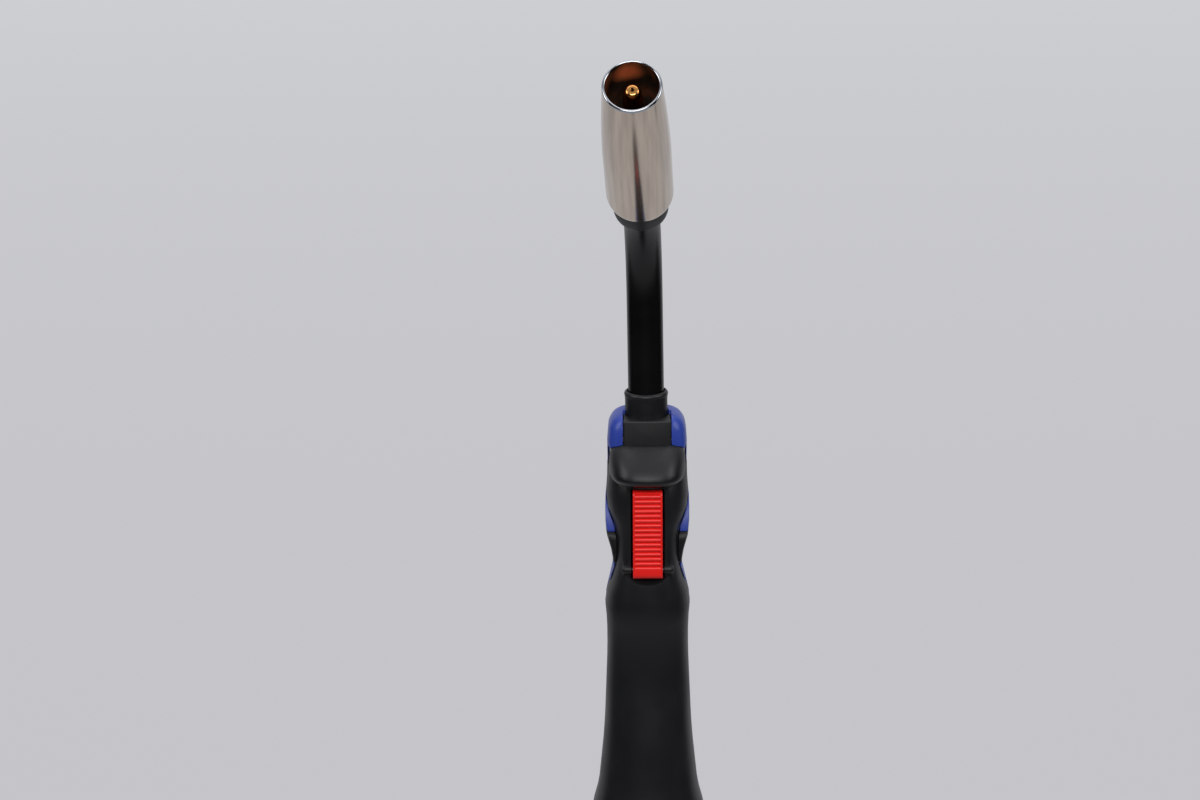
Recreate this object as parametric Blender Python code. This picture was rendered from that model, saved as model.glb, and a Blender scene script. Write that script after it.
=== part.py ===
"""A gas-shielded wire welding gun: swan neck with its gas nozzle, two-part handle, trigger and switch.

The handle stands along +Z with its cable end at z = 0, the trigger looks along -Y and the neck bends
the same way. Lengths are in metres, written as millimetres times MM.
"""

import math

import bmesh
import bpy
from mathutils import Matrix, Vector

MM = 0.001
GAP = 0.3 * MM            # clearance between neighbouring pieces

# levels up the handle, from the face of the cable socket
SOCKET_STANDOUT = 6.0 * MM        # cable socket below the handle's lower end
GRIP_LENGTH = 110.0 * MM          # lower end to the bulge under the trigger
PIVOT_ABOVE_BULGE = 18.0 * MM
TRIGGER_BELOW_PIVOT = 2.8 * MM
TRIGGER_LENGTH = 37.5 * MM
HOOD_OVER_TRIGGER = 3.8 * MM      # top of the trigger to the hood's lip
SHOULDER_HEIGHT = 24.7 * MM       # hood's lip to the top of the rear shell
SLEEVE_STANDOUT = 8.8 * MM        # root sleeve above the rear shell

# trigger
TRIGGER_WIDTH = 12.5 * MM
TRIGGER_FACE = 22.5 * MM          # how far its face lies in front of the neck's axis
TRIGGER_WALL = 2.2 * MM
TRIGGER_DEPTH = 6.6 * MM          # face to the edge of its skirt
TRIGGER_RIBS = 15
RIB_PITCH = 2.06 * MM
RIB_DEPTH = 0.8 * MM
TRIGGER_SLOT_GAP = 0.7 * MM
TRIGGER_TRAVEL = 3.5              # degrees
PIVOT_DEPTH = 17.0 * MM           # pivot in front of the neck's axis
PIVOT_PIN_RADIUS = 1.1 * MM
PIVOT_BOSS_RADIUS = 2.0 * MM
PIVOT_BOSS_REACH = 10.7 * MM      # outer end of a boss from the middle

# neck
NECK_TURN = 2.45                  # degrees that the neck is clamped to one side
NECK_LEAN = 0.64                  # degrees that it leans to that side in its clamp
NECK_BEND = 48.0
NECK_BEND_RADIUS = 55.0 * MM
NECK_STRAIGHT = 36.5 * MM         # sleeve rim to the start of the bend
NECK_END = 16.0 * MM              # end of the bend to the back of the nozzle
JACKET_RADIUS = 7.35 * MM
JACKET_WALL = 1.5 * MM
NECK_TUBE_WALL = 2.6 * MM
LINER_RADIUS = 2.3 * MM
LINER_BORE = 0.9 * MM
SLEEVE_RADIUS = 8.7 * MM

# front end
NOZZLE_LENGTH = 84.0 * MM
NOZZLE_RADIUS = 13.3 * MM
MOUTH_RADIUS = 11.35 * MM
NOZZLE_WALL = 1.2 * MM
TIP_RADIUS = 4.0 * MM
TIP_END_RADIUS = 3.0 * MM
TIP_LENGTH = 30.0 * MM
TIP_RECESS = 3.0 * MM             # tip's end behind the nozzle's mouth
TIP_BORE = 0.6 * MM
COLLAR_RADIUS = 10.9 * MM
COLLAR_VISIBLE = 9.3 * MM
COLLAR_SHOULDER = 4.4 * MM        # length of its rounded back end
COLLAR_SEAT = 22.0 * MM           # length of the collar that the nozzle slides on

# shells
SHELL_WALL = 2.4 * MM
GRIP_THICKNESS = 2.0 * MM
PAD_THICKNESS = 1.2 * MM
TONGUE_HALF_WIDTH = 9.7 * MM
TONGUE_FACE = 12.4 * MM
CABLE_RADIUS = 8.2 * MM           # bore of the cable socket
SOCKET_RADIUS = 16.5 * MM

# inside the handle
BLOCK_HEIGHT = 16.0 * MM
BLOCK_HALF_WIDTH = 11.4 * MM
BLOCK_HALF_DEPTH = 8.4 * MM
NUT_HEIGHT = 9.0 * MM
CONNECTOR_RADIUS = 7.2 * MM
CONNECTOR_LENGTH = 46.0 * MM
CONNECTOR_BORE = 4.2 * MM
SCREW_RADIUS = 2.0 * MM
SCREW_HEAD_RADIUS = 3.6 * MM
SCREW_HEAD_HEIGHT = 2.4 * MM
SCREW_DEPTH = 5.2 * MM            # screws in front of the neck's axis
SCREW_BELOW_TOP = 17.5 * MM
SWITCH_LENGTH = 19.8 * MM
SWITCH_WIDTH = 6.4 * MM
SWITCH_DEPTH = 6.2 * MM
PLUNGER_ARM = 24.0 * MM           # plunger above the trigger's pivot
PLUNGER_STANDOUT = 1.45 * MM
CARRIER_THICKNESS = 1.2 * MM
CARRIER_HALF_WIDTH = 8.7 * MM
SPRING_ARM = 7.5 * MM
SPRING_RADIUS = 2.2 * MM
SPRING_WIRE = 0.3 * MM
SPRING_TURNS = 5

Z_BULGE = SOCKET_STANDOUT + GRIP_LENGTH
Z_PIVOT = Z_BULGE + PIVOT_ABOVE_BULGE
Z_TRIGGER_LOW = Z_PIVOT - TRIGGER_BELOW_PIVOT
Z_TRIGGER_TOP = Z_TRIGGER_LOW + TRIGGER_LENGTH
Z_LIP = Z_TRIGGER_TOP + HOOD_OVER_TRIGGER
Z_SHOULDER = Z_LIP + SHOULDER_HEIGHT
Z_RIM = Z_SHOULDER + SLEEVE_STANDOUT

# the handle's outline. Each row: level, half width, front and back measured from the neck's axis (mm)
GRIP_ROWS = (                     # level as a share of GRIP_LENGTH
    (0.00, 21.8, 24.6, 23.2),
    (0.05, 24.2, 27.9, 25.7),
    (0.11, 24.5, 28.5, 26.0),
    (0.17, 23.2, 27.3, 24.7),
    (0.24, 21.2, 25.4, 22.8),
    (0.33, 20.0, 23.7, 21.1),
    (0.45, 18.7, 22.9, 19.8),
    (0.55, 18.0, 21.5, 19.3),
    (0.68, 17.4, 19.4, 19.3),
    (0.80, 16.95, 18.9, 19.9),
    (0.91, 17.0, 20.0, 21.1),
    (1.00, 17.7, 22.0, 22.1),
)
HEAD_ROWS = (                     # level as a share of the way from the bulge to the hood's lip
    (0.10, 16.7, 21.8, 22.5),
    (0.18, 15.6, 21.2, 22.8),
    (0.27, 14.4, 20.8, 23.1),
    (0.35, 14.4, 20.6, 23.3),
    (0.43, 15.6, 20.5, 23.5),
    (0.50, 16.8, 20.5, 23.6),
    (0.60, 17.4, 20.5, 23.6),
    (0.78, 17.3, 20.6, 23.3),
    (0.90, 16.7, 20.4, 22.8),
    (1.00, 16.4, 19.0, 22.2),
)
SHOULDER_ROWS = (                 # level as a share of SHOULDER_HEIGHT
    (0.16, 16.2, 14.4, 21.7),
    (0.40, 16.4, 13.0, 20.7),
    (0.64, 16.3, 12.6, 19.2),
    (0.78, 15.8, 12.1, 17.3),
    (0.89, 14.6, 11.2, 15.0),
    (0.96, 12.9, 9.9, 12.6),
    (1.00, 10.6, 7.9, 10.2),
)
WAIST_ROWS = (                    # the front shell's own half width between bulge and lip
    (0.04, 17.6),
    (0.11, 16.5),
    (0.18, 15.2),
    (0.27, 13.9),
    (0.36, 13.3),
    (0.48, 13.3),
    (0.57, 13.6),
    (0.62, 14.2),
    (0.67, 15.2),
    (0.73, 16.5),
    (0.80, 17.1),
    (0.90, 16.7),
    (1.00, 16.4),
)
HOOD_ROWS = (                     # height over the lip, half width, reach in front of the axis (mm)
    (-1.7, 13.9, 20.4),
    (-0.9, 14.9, 24.0),
    (0.6, 15.5, 26.2),
    (2.4, 15.8, 26.5),
    (5.5, 15.9, 24.6),
    (9.0, 15.8, 20.9),
    (12.0, 14.6, 16.8),
    (13.8, 11.9, 13.8),
)
GRIP_POWER, SHOULDER_POWER, HOOD_POWER = 2.35, 3.2, 3.0


def axis_place(start, direction):
    """A matrix that stands +Z of a turned piece along direction, from start."""
    turn = Vector(direction).to_track_quat("Z", "Y").to_matrix().to_4x4()
    return Matrix.Translation(start) @ turn


def neck_frame(along):
    """The place on the neck's axis at a distance from the sleeve's rim, +Z along the neck."""
    bend = math.radians(NECK_BEND)
    arc = bend * NECK_BEND_RADIUS
    angle = min(max((along - NECK_STRAIGHT) / NECK_BEND_RADIUS, 0.0), bend)
    up = min(along, NECK_STRAIGHT) + NECK_BEND_RADIUS * math.sin(angle)
    forward = NECK_BEND_RADIUS * (1 - math.cos(angle))
    past = max(along - NECK_STRAIGHT - arc, 0.0)
    up += past * math.cos(angle)
    forward += past * math.sin(angle)
    turn = (Matrix.Translation((0, 0, Z_SCREW)) @ Matrix.Rotation(-math.radians(NECK_LEAN), 4, "Y")
            @ Matrix.Translation((0, 0, -Z_SCREW)) @ Matrix.Rotation(-math.radians(NECK_TURN), 4, "Z"))
    return (turn @ Matrix.Translation((0, -forward, Z_RIM + up))
            @ Matrix.Rotation(angle, 4, "X"))


HEAD_START = NECK_STRAIGHT + math.radians(NECK_BEND) * NECK_BEND_RADIUS + NECK_END


def head_frame(along):
    """The same, measured from the back of the nozzle."""
    return neck_frame(HEAD_START + along)


def bend_steps(low, high, step=8.0):
    """Distances from low to high, closer together round the bend."""
    first = max(low, NECK_STRAIGHT)
    last = min(high, HEAD_START - NECK_END)
    count = max(1, round(math.degrees((last - first) / NECK_BEND_RADIUS) / step))
    inner = [first + (last - first) * i / count for i in range(count + 1)]
    return [low] + [s for s in inner if low + MM < s < high - MM] + [high]


def hermite(rows, z, column):
    """A smooth curve through the rows' values at height z."""
    heights = [row[0] for row in rows]
    values = [row[column] for row in rows]
    if z <= heights[0]:
        return values[0]
    if z >= heights[-1]:
        return values[-1]
    i = max(k for k in range(len(rows) - 1) if heights[k] <= z)

    def slope(k):
        k = min(max(k, 1), len(rows) - 2)
        return (values[k + 1] - values[k - 1]) / (heights[k + 1] - heights[k - 1])

    span = heights[i + 1] - heights[i]
    t = (z - heights[i]) / span
    return ((2 * t**3 - 3 * t**2 + 1) * values[i] + (t**3 - 2 * t**2 + t) * span * slope(i)
            + (3 * t**2 - 2 * t**3) * values[i + 1] + (t**3 - t**2) * span * slope(i + 1))


def handle_rows():
    """All outline rows as (height, half width, front, back) in metres."""
    rows = []
    for group, low, length in ((GRIP_ROWS, SOCKET_STANDOUT, GRIP_LENGTH),
                               (HEAD_ROWS, Z_BULGE, Z_LIP - Z_BULGE),
                               (SHOULDER_ROWS, Z_LIP, SHOULDER_HEIGHT)):
        rows += [(low + share * length, *(v * MM for v in sizes)) for share, *sizes in group]
    return rows


def waist_rows():
    grip = [(z, wide) for z, wide, _, _ in handle_rows() if z <= Z_BULGE]
    waist = [(Z_BULGE + share * (Z_LIP - Z_BULGE), wide * MM) for share, wide in WAIST_ROWS]
    return grip + waist


def oval(z, wide, front, back, power, count):
    """A closed outline at height z, a superellipse with its own depth in front and behind."""
    ring = []
    for i in range(count):
        a = 2 * math.pi * i / count
        c, s = math.cos(a), math.sin(a)
        x = math.copysign(abs(c) ** (2 / power), c) * wide
        y = math.copysign(abs(s) ** (2 / power), s) * (back if s > 0 else front)
        ring.append(Vector((x, y, z)))
    return ring


def handle_ring(z, inset=0.0, waisted=False, count=32):
    rows = handle_rows()
    wide, front, back = (hermite(rows, z, k) for k in (1, 2, 3))
    if waisted:
        wide = hermite(waist_rows(), z, 1)
    share = min(max((z - Z_LIP) / (SHOULDER_HEIGHT * 0.4), 0.0), 1.0)
    power = GRIP_POWER + (SHOULDER_POWER - GRIP_POWER) * share
    return oval(z, wide - inset, front - inset, back - inset, power, count)


def heights(low, high, step):
    """Ring heights from low to high, closer together at the handle's rounded ends."""
    count = max(2, round((high - low) / step))
    levels = [low + (high - low) * i / count for i in range(count + 1)]
    extra = [Z_SHOULDER - k * MM for k in (0.8, 1.6, 2.8, 4.4)]
    levels += [z for z in extra if low < z < high - 0.3 * MM]
    levels.sort()
    kept = [levels[0]]
    kept += [z for z in levels[1:-1] if z - kept[-1] > 0.6 * MM and high - z > 0.6 * MM]
    return kept + [levels[-1]]


def finish(bm, name, material=None, smooth=35):
    """Make an object of a bmesh, faces outwards, round faces shaded smooth."""
    bmesh.ops.recalc_face_normals(bm, faces=bm.faces)
    mesh = bpy.data.meshes.new(name)
    bm.to_mesh(mesh)
    bm.free()
    mesh.shade_smooth()
    mesh.set_sharp_from_angle(angle=math.radians(smooth))
    if material:
        mesh.materials.append(material)
    obj = bpy.data.objects.new(name, mesh)
    bpy.context.scene.collection.objects.link(obj)
    return obj


def skin(bm, low, high):
    """Quads, or triangles at a pole, between two rings."""
    count = max(len(low), len(high))
    for i in range(count):
        j = (i + 1) % count
        corners = []
        for ring, k in ((low, i), (low, j), (high, j), (high, i)):
            vert = ring[k % len(ring)]
            if vert not in corners:
                corners.append(vert)
        if len(corners) > 2:
            bm.faces.new(corners)


def loft(name, rings, material=None):
    """A solid through closed rings, flat at both ends."""
    bm = bmesh.new()
    loops = [[bm.verts.new(p) for p in ring] for ring in rings]
    for low, high in zip(loops, loops[1:]):
        skin(bm, low, high)
    bm.faces.new(loops[0])
    bm.faces.new(loops[-1])
    return finish(bm, name, material)


def turned(name, outline, frame_of, material=None, sides=32):
    """A turned piece. outline: (along, radius) round its section, or from pole to pole."""
    bm = bmesh.new()
    rings = []
    for along, radius in outline:
        place = frame_of(along)
        angles = [2 * math.pi * i / sides for i in range(sides if radius else 1)]
        rings.append([bm.verts.new(place @ Vector((radius * math.cos(a), radius * math.sin(a), 0)))
                      for a in angles])
    for low, high in zip(rings, rings[1:]):
        skin(bm, low, high)
    if len(rings[0]) > 1:
        skin(bm, rings[-1], rings[0])
    return finish(bm, name, material)


def straight(start, direction):
    """The frame_of of a straight turned piece."""
    place = axis_place(start, direction)
    return lambda along: place @ Matrix.Translation((0, 0, along))


def rod(name, start, direction, length, radius, sides=24, material=None, chamfer=0.0):
    outline = [(0, 0), (0, radius - chamfer)]
    if chamfer:
        outline += [(chamfer, radius), (length - chamfer, radius)]
    outline += [(length, radius - chamfer), (length, 0)]
    return turned(name, outline, straight(start, direction), material, sides)


def box(name, low, high, material=None, bevel=0.0, segments=2):
    """A block between two corners, its edges rounded."""
    bm = bmesh.new()
    bmesh.ops.create_cube(bm, size=1.0)
    low, high = Vector(low), Vector(high)
    for vert in bm.verts:
        vert.co = Vector((vert.co[k] + 0.5) * (high[k] - low[k]) + low[k] for k in range(3))
    if bevel:
        bmesh.ops.bevel(bm, geom=bm.edges[:], offset=bevel, segments=segments,
                        profile=0.5, affect="EDGES")
    return finish(bm, name, material)


def prism(name, outline, axis, low, high, material=None):
    """A flat outline pushed from low to high along an axis. The outline skips that axis."""
    def point(u, v, w):
        return {"X": (w, u, v), "Y": (u, w, v), "Z": (u, v, w)}[axis]
    rings = [[Vector(point(u, v, w)) for u, v in outline] for w in (low, high)]
    return loft(name, rings, material)


def arc(centre, radius, start, end, count):
    """Points round an arc, angles in degrees."""
    steps = [math.radians(start + (end - start) * i / count) for i in range(count + 1)]
    return [(centre[0] + radius * math.cos(a), centre[1] + radius * math.sin(a)) for a in steps]


def rounded(low, high, radius, count=4):
    """A rectangle's outline with round corners."""
    (u0, v0), (u1, v1) = low, high
    points = []
    for centre, start in (((u1 - radius, v1 - radius), 0), ((u0 + radius, v1 - radius), 90),
                          ((u0 + radius, v0 + radius), 180), ((u1 - radius, v0 + radius), 270)):
        points += arc(centre, radius, start, start + 90, count)
    return points


def measure(mesh):
    """A mesh's volume, or None where its faces don't close."""
    bm = bmesh.new()
    bm.from_mesh(mesh)
    bmesh.ops.dissolve_degenerate(bm, dist=0.002 * MM, edges=bm.edges)
    closed = bool(bm.faces) and all(edge.is_manifold for edge in bm.edges)
    volume = bm.calc_volume() if closed else None
    bm.to_mesh(mesh)
    bm.free()
    return volume


def combine(obj, other, operation):
    """Apply one Boolean to obj, with the second solver where the first one fails."""
    own, tool = measure(obj.data), measure(other.data)
    modifier = obj.modifiers.new("combine", "BOOLEAN")
    modifier.operation = operation
    modifier.object = other
    slack = 1e-3 * own
    bounds = {"DIFFERENCE": (max(own - tool, 0) - slack, own + slack),
              "UNION": (max(own, tool) - slack, own + tool + slack),
              "INTERSECT": (0.0, min(own, tool) + slack)}[operation]
    for solver in ("EXACT", "MANIFOLD"):
        modifier.solver = solver
        graph = bpy.context.evaluated_depsgraph_get()
        mesh = bpy.data.meshes.new_from_object(obj.evaluated_get(graph))
        volume = measure(mesh)
        if volume and bounds[0] <= volume <= bounds[1]:
            break
        print(f"{obj.name} {operation} {other.name}: {solver} gave {volume}")
    obj.modifiers.clear()
    obj.data = mesh
    mesh.shade_smooth()
    mesh.set_sharp_from_angle(angle=math.radians(35))
    bpy.data.objects.remove(other)
    return obj


def cut(obj, *cutters):
    for cutter in cutters:
        combine(obj, cutter, "DIFFERENCE")
    return obj


def add(obj, *others):
    for other in others:
        combine(obj, other, "UNION")
    return obj


def keep(obj, other):
    return combine(obj, other, "INTERSECT")


def finish_material(name, colour, roughness, metallic=0.0):
    material = bpy.data.materials.new(name)
    material.use_nodes = True
    shader = material.node_tree.nodes["Principled BSDF"]
    shader.inputs["Base Color"].default_value = (*colour, 1.0)
    shader.inputs["Roughness"].default_value = roughness
    shader.inputs["Metallic"].default_value = metallic
    material.diffuse_color = (*colour, 1.0)
    return material


# ---- levels inside the handle, and sizes that follow from what a piece fits ----
BIG = 400 * MM                                     # reach of a cutter past the handle
TUBE_RADIUS = JACKET_RADIUS - JACKET_WALL - GAP
TUBE_BORE = TUBE_RADIUS - NECK_TUBE_WALL
Z_SCREW = Z_SHOULDER - SCREW_BELOW_TOP
Z_BLOCK_TOP = Z_SCREW + BLOCK_HEIGHT / 2
Z_BLOCK_LOW = Z_SCREW - BLOCK_HEIGHT / 2
Z_NUT_LOW = Z_BLOCK_LOW - GAP - NUT_HEIGHT
Z_CONNECTOR_TOP = Z_NUT_LOW - GAP
Z_CONNECTOR_LOW = Z_CONNECTOR_TOP - CONNECTOR_LENGTH
CONNECTOR_SOCKET = 6.0 * MM                        # depth of the neck tube in the connector
CONNECTOR_HOLE = TUBE_RADIUS + GAP
Z_TUBE_LOW = Z_CONNECTOR_TOP - CONNECTOR_SOCKET + 1.6 * MM
TUBE_IN_HEAD = 26.0 * MM
TIP_END = NOZZLE_LENGTH - TIP_RECESS
TIP_BACK = TIP_END - TIP_LENGTH
TIP_THREAD = 7.0 * MM
TIP_THREAD_RADIUS = 3.0 * MM
TIP_TAPER = 3.2 * MM
HOLDER_RADIUS = 6.6 * MM
DIFFUSER_RADIUS = 9.4 * MM
SEAT_RADIUS = MOUTH_RADIUS - NOZZLE_WALL + 0.1 * MM     # collar under the nozzle
SEAT_BORE = SEAT_RADIUS + GAP                           # nozzle's bore over the collar
Z_PLUNGER = Z_PIVOT + PLUNGER_ARM
SKIRT_EDGE = TRIGGER_FACE - TRIGGER_DEPTH
INNER_FACE = TRIGGER_FACE - TRIGGER_WALL
CARRIER_BACK = CONNECTOR_RADIUS + 0.7 * MM
CARRIER_FACE = CARRIER_BACK + CARRIER_THICKNESS
SWITCH_FACE = CARRIER_FACE + GAP + SWITCH_DEPTH - 0.3 * MM
PLUNGER_FACE = SWITCH_FACE + PLUNGER_STANDOUT
Z_SWITCH_TOP = Z_PLUNGER + 7.2 * MM
Z_SWITCH_LOW = Z_SWITCH_TOP - SWITCH_LENGTH
Z_SPRING = Z_PIVOT + SPRING_ARM
Z_PARTING_TOP = Z_LIP + 3.5 * MM                   # front shell ends here beside the hood
SCREW_SEAT = BLOCK_HALF_WIDTH + 1.5 * MM           # underside of a side screw's head
EAR_REACH = 7.5 * MM                               # rear shell in front of the parting at the waist
EAR_LOW = Z_BULGE + 4 * MM
EAR_HEIGHT = Z_LIP - 10.5 * MM - EAR_LOW
PAD_FRONT, PAD_BACK = 8.4 * MM, 16.0 * MM
Z_PAD_LOW, PAD_HEIGHT = Z_PIVOT - 1.0 * MM, 14.8 * MM
TRIGGER_BACKING = PIVOT_DEPTH - 3.2 * MM           # inside face of the wall round the trigger
Z_GRIP_TOP = Z_BULGE - 3.0 * MM                    # black grip meets the blue shell behind


def body_solid(name, inset=0.0, low=None, high=None, waisted=False, inner=False):
    """The handle's outline as a solid, inset all round. An inner one has fewer faces."""
    low = SOCKET_STANDOUT if low is None else low
    high = Z_SHOULDER if high is None else high
    step, count = (12 * MM, 16) if inner else (6 * MM, 30)
    return loft(name, [handle_ring(z, inset, waisted, count) for z in heights(low, high, step)])


def hood_solid(name, grow=0.0):
    """The visor over the trigger, flat at its back."""
    low, high = HOOD_ROWS[0][0], HOOD_ROWS[-1][0]
    levels = sorted({row[0] for row in HOOD_ROWS} | {-1.4, -0.2, 1.5, 3.8, 7.2, 10.6, 13.1})
    rings = []
    for up in levels:
        wide, reach = (hermite(HOOD_ROWS, up, k) * MM for k in (1, 2))
        z = Z_LIP + up * MM + (grow if up == high else -grow if up == low else 0)
        rings.append(oval(z, wide + grow, reach + grow, 0.2 * MM, HOOD_POWER, 32))
    for ring in rings:
        for point in ring:
            if point.y > -1 * MM:
                point.y = -1 * MM + grow
    return loft(name, rings)


def tongue_solid(name, grow=0.0):
    """The block in front of the root sleeve. The sleeve's bore is cut from it later."""
    wide, top = TONGUE_HALF_WIDTH + grow, Z_SHOULDER - 1.2 * MM + grow
    return box(name, (-wide, -TONGUE_FACE - grow, Z_LIP - 2 * MM), (wide, -GAP, top), bevel=0.5 * MM)


def half_space(name, forward, low, high):
    """A block in front of the parting (forward) or behind it."""
    near, far = (-BIG, -GAP / 2) if forward else (GAP / 2, BIG)
    return box(name, (-BIG, near, low), (BIG, far, high))


def block_pocket(grow):
    return box("pocket", (-BLOCK_HALF_WIDTH - grow, -BLOCK_HALF_DEPTH - grow, Z_BLOCK_LOW - grow),
               (BLOCK_HALF_WIDTH + grow, BLOCK_HALF_DEPTH + grow, Z_BLOCK_TOP + grow))


def nut_pocket():
    """Room under the clamp block for its nut and for the upper end of the switch carrier."""
    wide, deep = CARRIER_HALF_WIDTH + GAP, BLOCK_HALF_DEPTH + GAP
    return box("nut_pocket", (-wide, -CARRIER_FACE - GAP, Z_TRIGGER_TOP - 2 * MM),
               (wide, deep - 0.2 * MM, Z_BLOCK_LOW + MM))


def sleeve_bore():
    return rod("bore", (0, 0, Z_BLOCK_TOP - MM), (0, 0, 1), BIG, SLEEVE_RADIUS + GAP, 32)


def socket_outline(grow=0.0):
    """The spool that the shells hold at the cable end, with its bore."""
    neck, lip, inner = SOCKET_RADIUS - 3.2 * MM, SOCKET_RADIUS, SOCKET_RADIUS - 1.0 * MM
    wall = 3.0 * MM
    top = SOCKET_STANDOUT + wall
    return neck + grow, lip, inner, top, wall


def slot_cutter():
    wide = TRIGGER_WIDTH / 2 + TRIGGER_SLOT_GAP
    return box("slot", (-wide, -BIG, Z_TRIGGER_LOW - TRIGGER_SLOT_GAP),
               (wide, -8 * MM, Z_TRIGGER_TOP + TRIGGER_SLOT_GAP), bevel=0.6 * MM)


def recess_cutter():
    """The scoop round the trigger: narrow at its top, wide with a round floor at the pivot."""
    top_half = TRIGGER_WIDTH / 2 + 0.9 * MM
    low_half = PIVOT_BOSS_REACH - 0.6 * MM
    z_top, z_wide = Z_TRIGGER_TOP + 0.2 * MM, Z_PIVOT + 0.5 * MM
    drop = z_wide - (Z_TRIGGER_LOW - 1.5 * MM)
    outline = [(top_half, z_top), (top_half + 0.5 * MM, z_top - 12 * MM),
               (top_half + 1.4 * MM, z_top - 21 * MM), (low_half - 0.8 * MM, z_wide + 6 * MM)]
    for i in range(11):
        a = math.pi * i / 10
        outline.append((low_half * math.cos(a), z_wide - drop * math.sin(a)))
    outline += [(-x, z) for x, z in reversed(outline[:4])]
    z_middle = (z_top + z_wide) / 2

    def floor(z):
        share = (z - z_wide) / (z_top - z_wide)
        return PIVOT_DEPTH + 0.5 * MM + share * 2.4 * MM

    def ring(rise, flare):
        return [Vector((x * (1 + flare / low_half), -floor(z) - rise, z + (z - z_middle) * flare / z_span))
                for x, z in outline]
    z_span = (z_top - z_wide) / 2 + drop
    return loft("recess", [ring(0, -0.7 * MM), ring(0.25 * MM, -0.15 * MM), ring(0.9 * MM, 0.25 * MM),
                           ring(2.4 * MM, 0.9 * MM), ring(10 * MM, 4.4 * MM)])


def cable_end_cutters():
    neck, lip, inner, top, wall = socket_outline(GAP)
    return (rod("neck_hole", (0, 0, -MM), (0, 0, 1), top + 2 * MM, neck, 32),)


def pivot_boss(side):
    """A round-ended boss that carries one end of the trigger's pin."""
    start, r = TRIGGER_WIDTH / 2 + GAP, PIVOT_BOSS_RADIUS
    length = PIVOT_BOSS_REACH - start
    outline = [(0, 0), (0, r - 0.3 * MM), (0.3 * MM, r)]
    outline += [(length - 1.4 * MM + u, v) for u, v in arc((0, r - 1.4 * MM), 1.4 * MM, 90, 15, 4)]
    outline += [(length, 0)]
    place = (side * start, -PIVOT_DEPTH, Z_PIVOT)
    return turned("boss", outline, straight(place, (side, 0, 0)), None, 20)


def make_front_shell(material):
    shell = body_solid("front_shell", high=Z_PARTING_TOP, waisted=True)
    keep(shell, half_space("half", True, -BIG, BIG))
    top = Z_TRIGGER_TOP + TRIGGER_SLOT_GAP
    cavity_low = SOCKET_STANDOUT + 3.0 * MM
    cavity = body_solid("cavity", SHELL_WALL, cavity_low, top, waisted=True, inner=True)
    cut(cavity, box("trigger_wall", (-BIG / 2, -BIG, Z_BULGE + 1.5 * MM),
                    (BIG / 2, -TRIGGER_BACKING, BIG + top)))
    cut(shell, cavity)
    add(shell, hood_solid("hood"), tongue_solid("tongue"))
    cut(shell, recess_cutter(), slot_cutter())
    for side in (-1, 1):
        boss = pivot_boss(side)
        middle = side * (CARRIER_HALF_WIDTH - MM)
        rib = box("rib", (middle - 0.9 * MM, -TRIGGER_BACKING - MM, Z_PIVOT + 5 * MM),
                  (middle + 0.9 * MM, -CARRIER_FACE - GAP, Z_SWITCH_TOP))
        add(shell, boss, rib)
    pin_hole = PIVOT_BOSS_REACH - 0.9 * MM
    cut(shell, rod("pin_hole", (-pin_hole, -PIVOT_DEPTH, Z_PIVOT), (1, 0, 0), 2 * pin_hole,
                   PIVOT_PIN_RADIUS + GAP, 24))
    cut(shell, box("lug_room", (-7 * MM, -17.4 * MM, top - MM), (7 * MM, -6 * MM, Z_LIP + 0.4 * MM)))
    cut(shell, block_pocket(GAP), nut_pocket(), sleeve_bore(), *cable_end_cutters())
    cut(shell, screw_bore(-1), screw_bore(1))
    shell.name = shell.data.name = "front_shell"
    shell.data.materials.clear()
    shell.data.materials.append(material)
    return shell


def make_rear_shell(material):
    """The blue shell. Its upper part wraps forward round the tongue, its lower part lies under the grip."""
    shell = body_solid("rear_shell")
    top = Z_TRIGGER_TOP + TRIGGER_SLOT_GAP
    cavity_low = SOCKET_STANDOUT + 3.0 * MM
    under_grip = GRIP_THICKNESS + GAP
    edge = [(-EAR_REACH * math.sin(math.pi * i / 12) ** 0.7, EAR_LOW + EAR_HEIGHT * i / 12)
            for i in range(1, 12)]
    ears = prism("ears", [(BIG / 4, EAR_LOW), (GAP, EAR_LOW)] + edge
                 + [(GAP, EAR_LOW + EAR_HEIGHT), (BIG / 4, EAR_LOW + EAR_HEIGHT)], "X", -BIG / 2, BIG / 2)
    cut(ears, body_solid("front", -GAP, waisted=True))
    ahead = box("ahead", (-BIG, -BIG, -BIG), (BIG, GAP / 2, Z_PARTING_TOP + GAP))
    cut(shell, cut(ahead, ears))
    sheath = body_solid("sheath", -10 * MM, -MM, Z_GRIP_TOP + GAP, inner=True)
    cut(sheath, body_solid("core", under_grip, -2 * MM, Z_GRIP_TOP + MM, inner=True))
    cut(shell, sheath)
    cut(shell, body_solid("cavity", under_grip + SHELL_WALL, cavity_low, top, inner=True))
    cut(shell, hood_solid("hood", GAP))
    cut(shell, box("beside_hood", (-BIG, -BIG, -BIG), (BIG, -EAR_REACH, Z_LIP + 6.5 * MM)))
    slot = TONGUE_HALF_WIDTH + GAP
    cut(shell, box("tongue_slot", (-slot, -BIG, Z_LIP), (slot, 0, BIG + Z_SHOULDER)))
    cut(shell, block_pocket(GAP), nut_pocket(), sleeve_bore(), *cable_end_cutters())
    cut(shell, screw_bore(-1), screw_bore(1))
    cut(shell, pad_cutter(-1, GAP), pad_cutter(1, GAP))
    shell.name = shell.data.name = "rear_shell"
    shell.data.materials.clear()
    shell.data.materials.append(material)
    return shell


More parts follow.
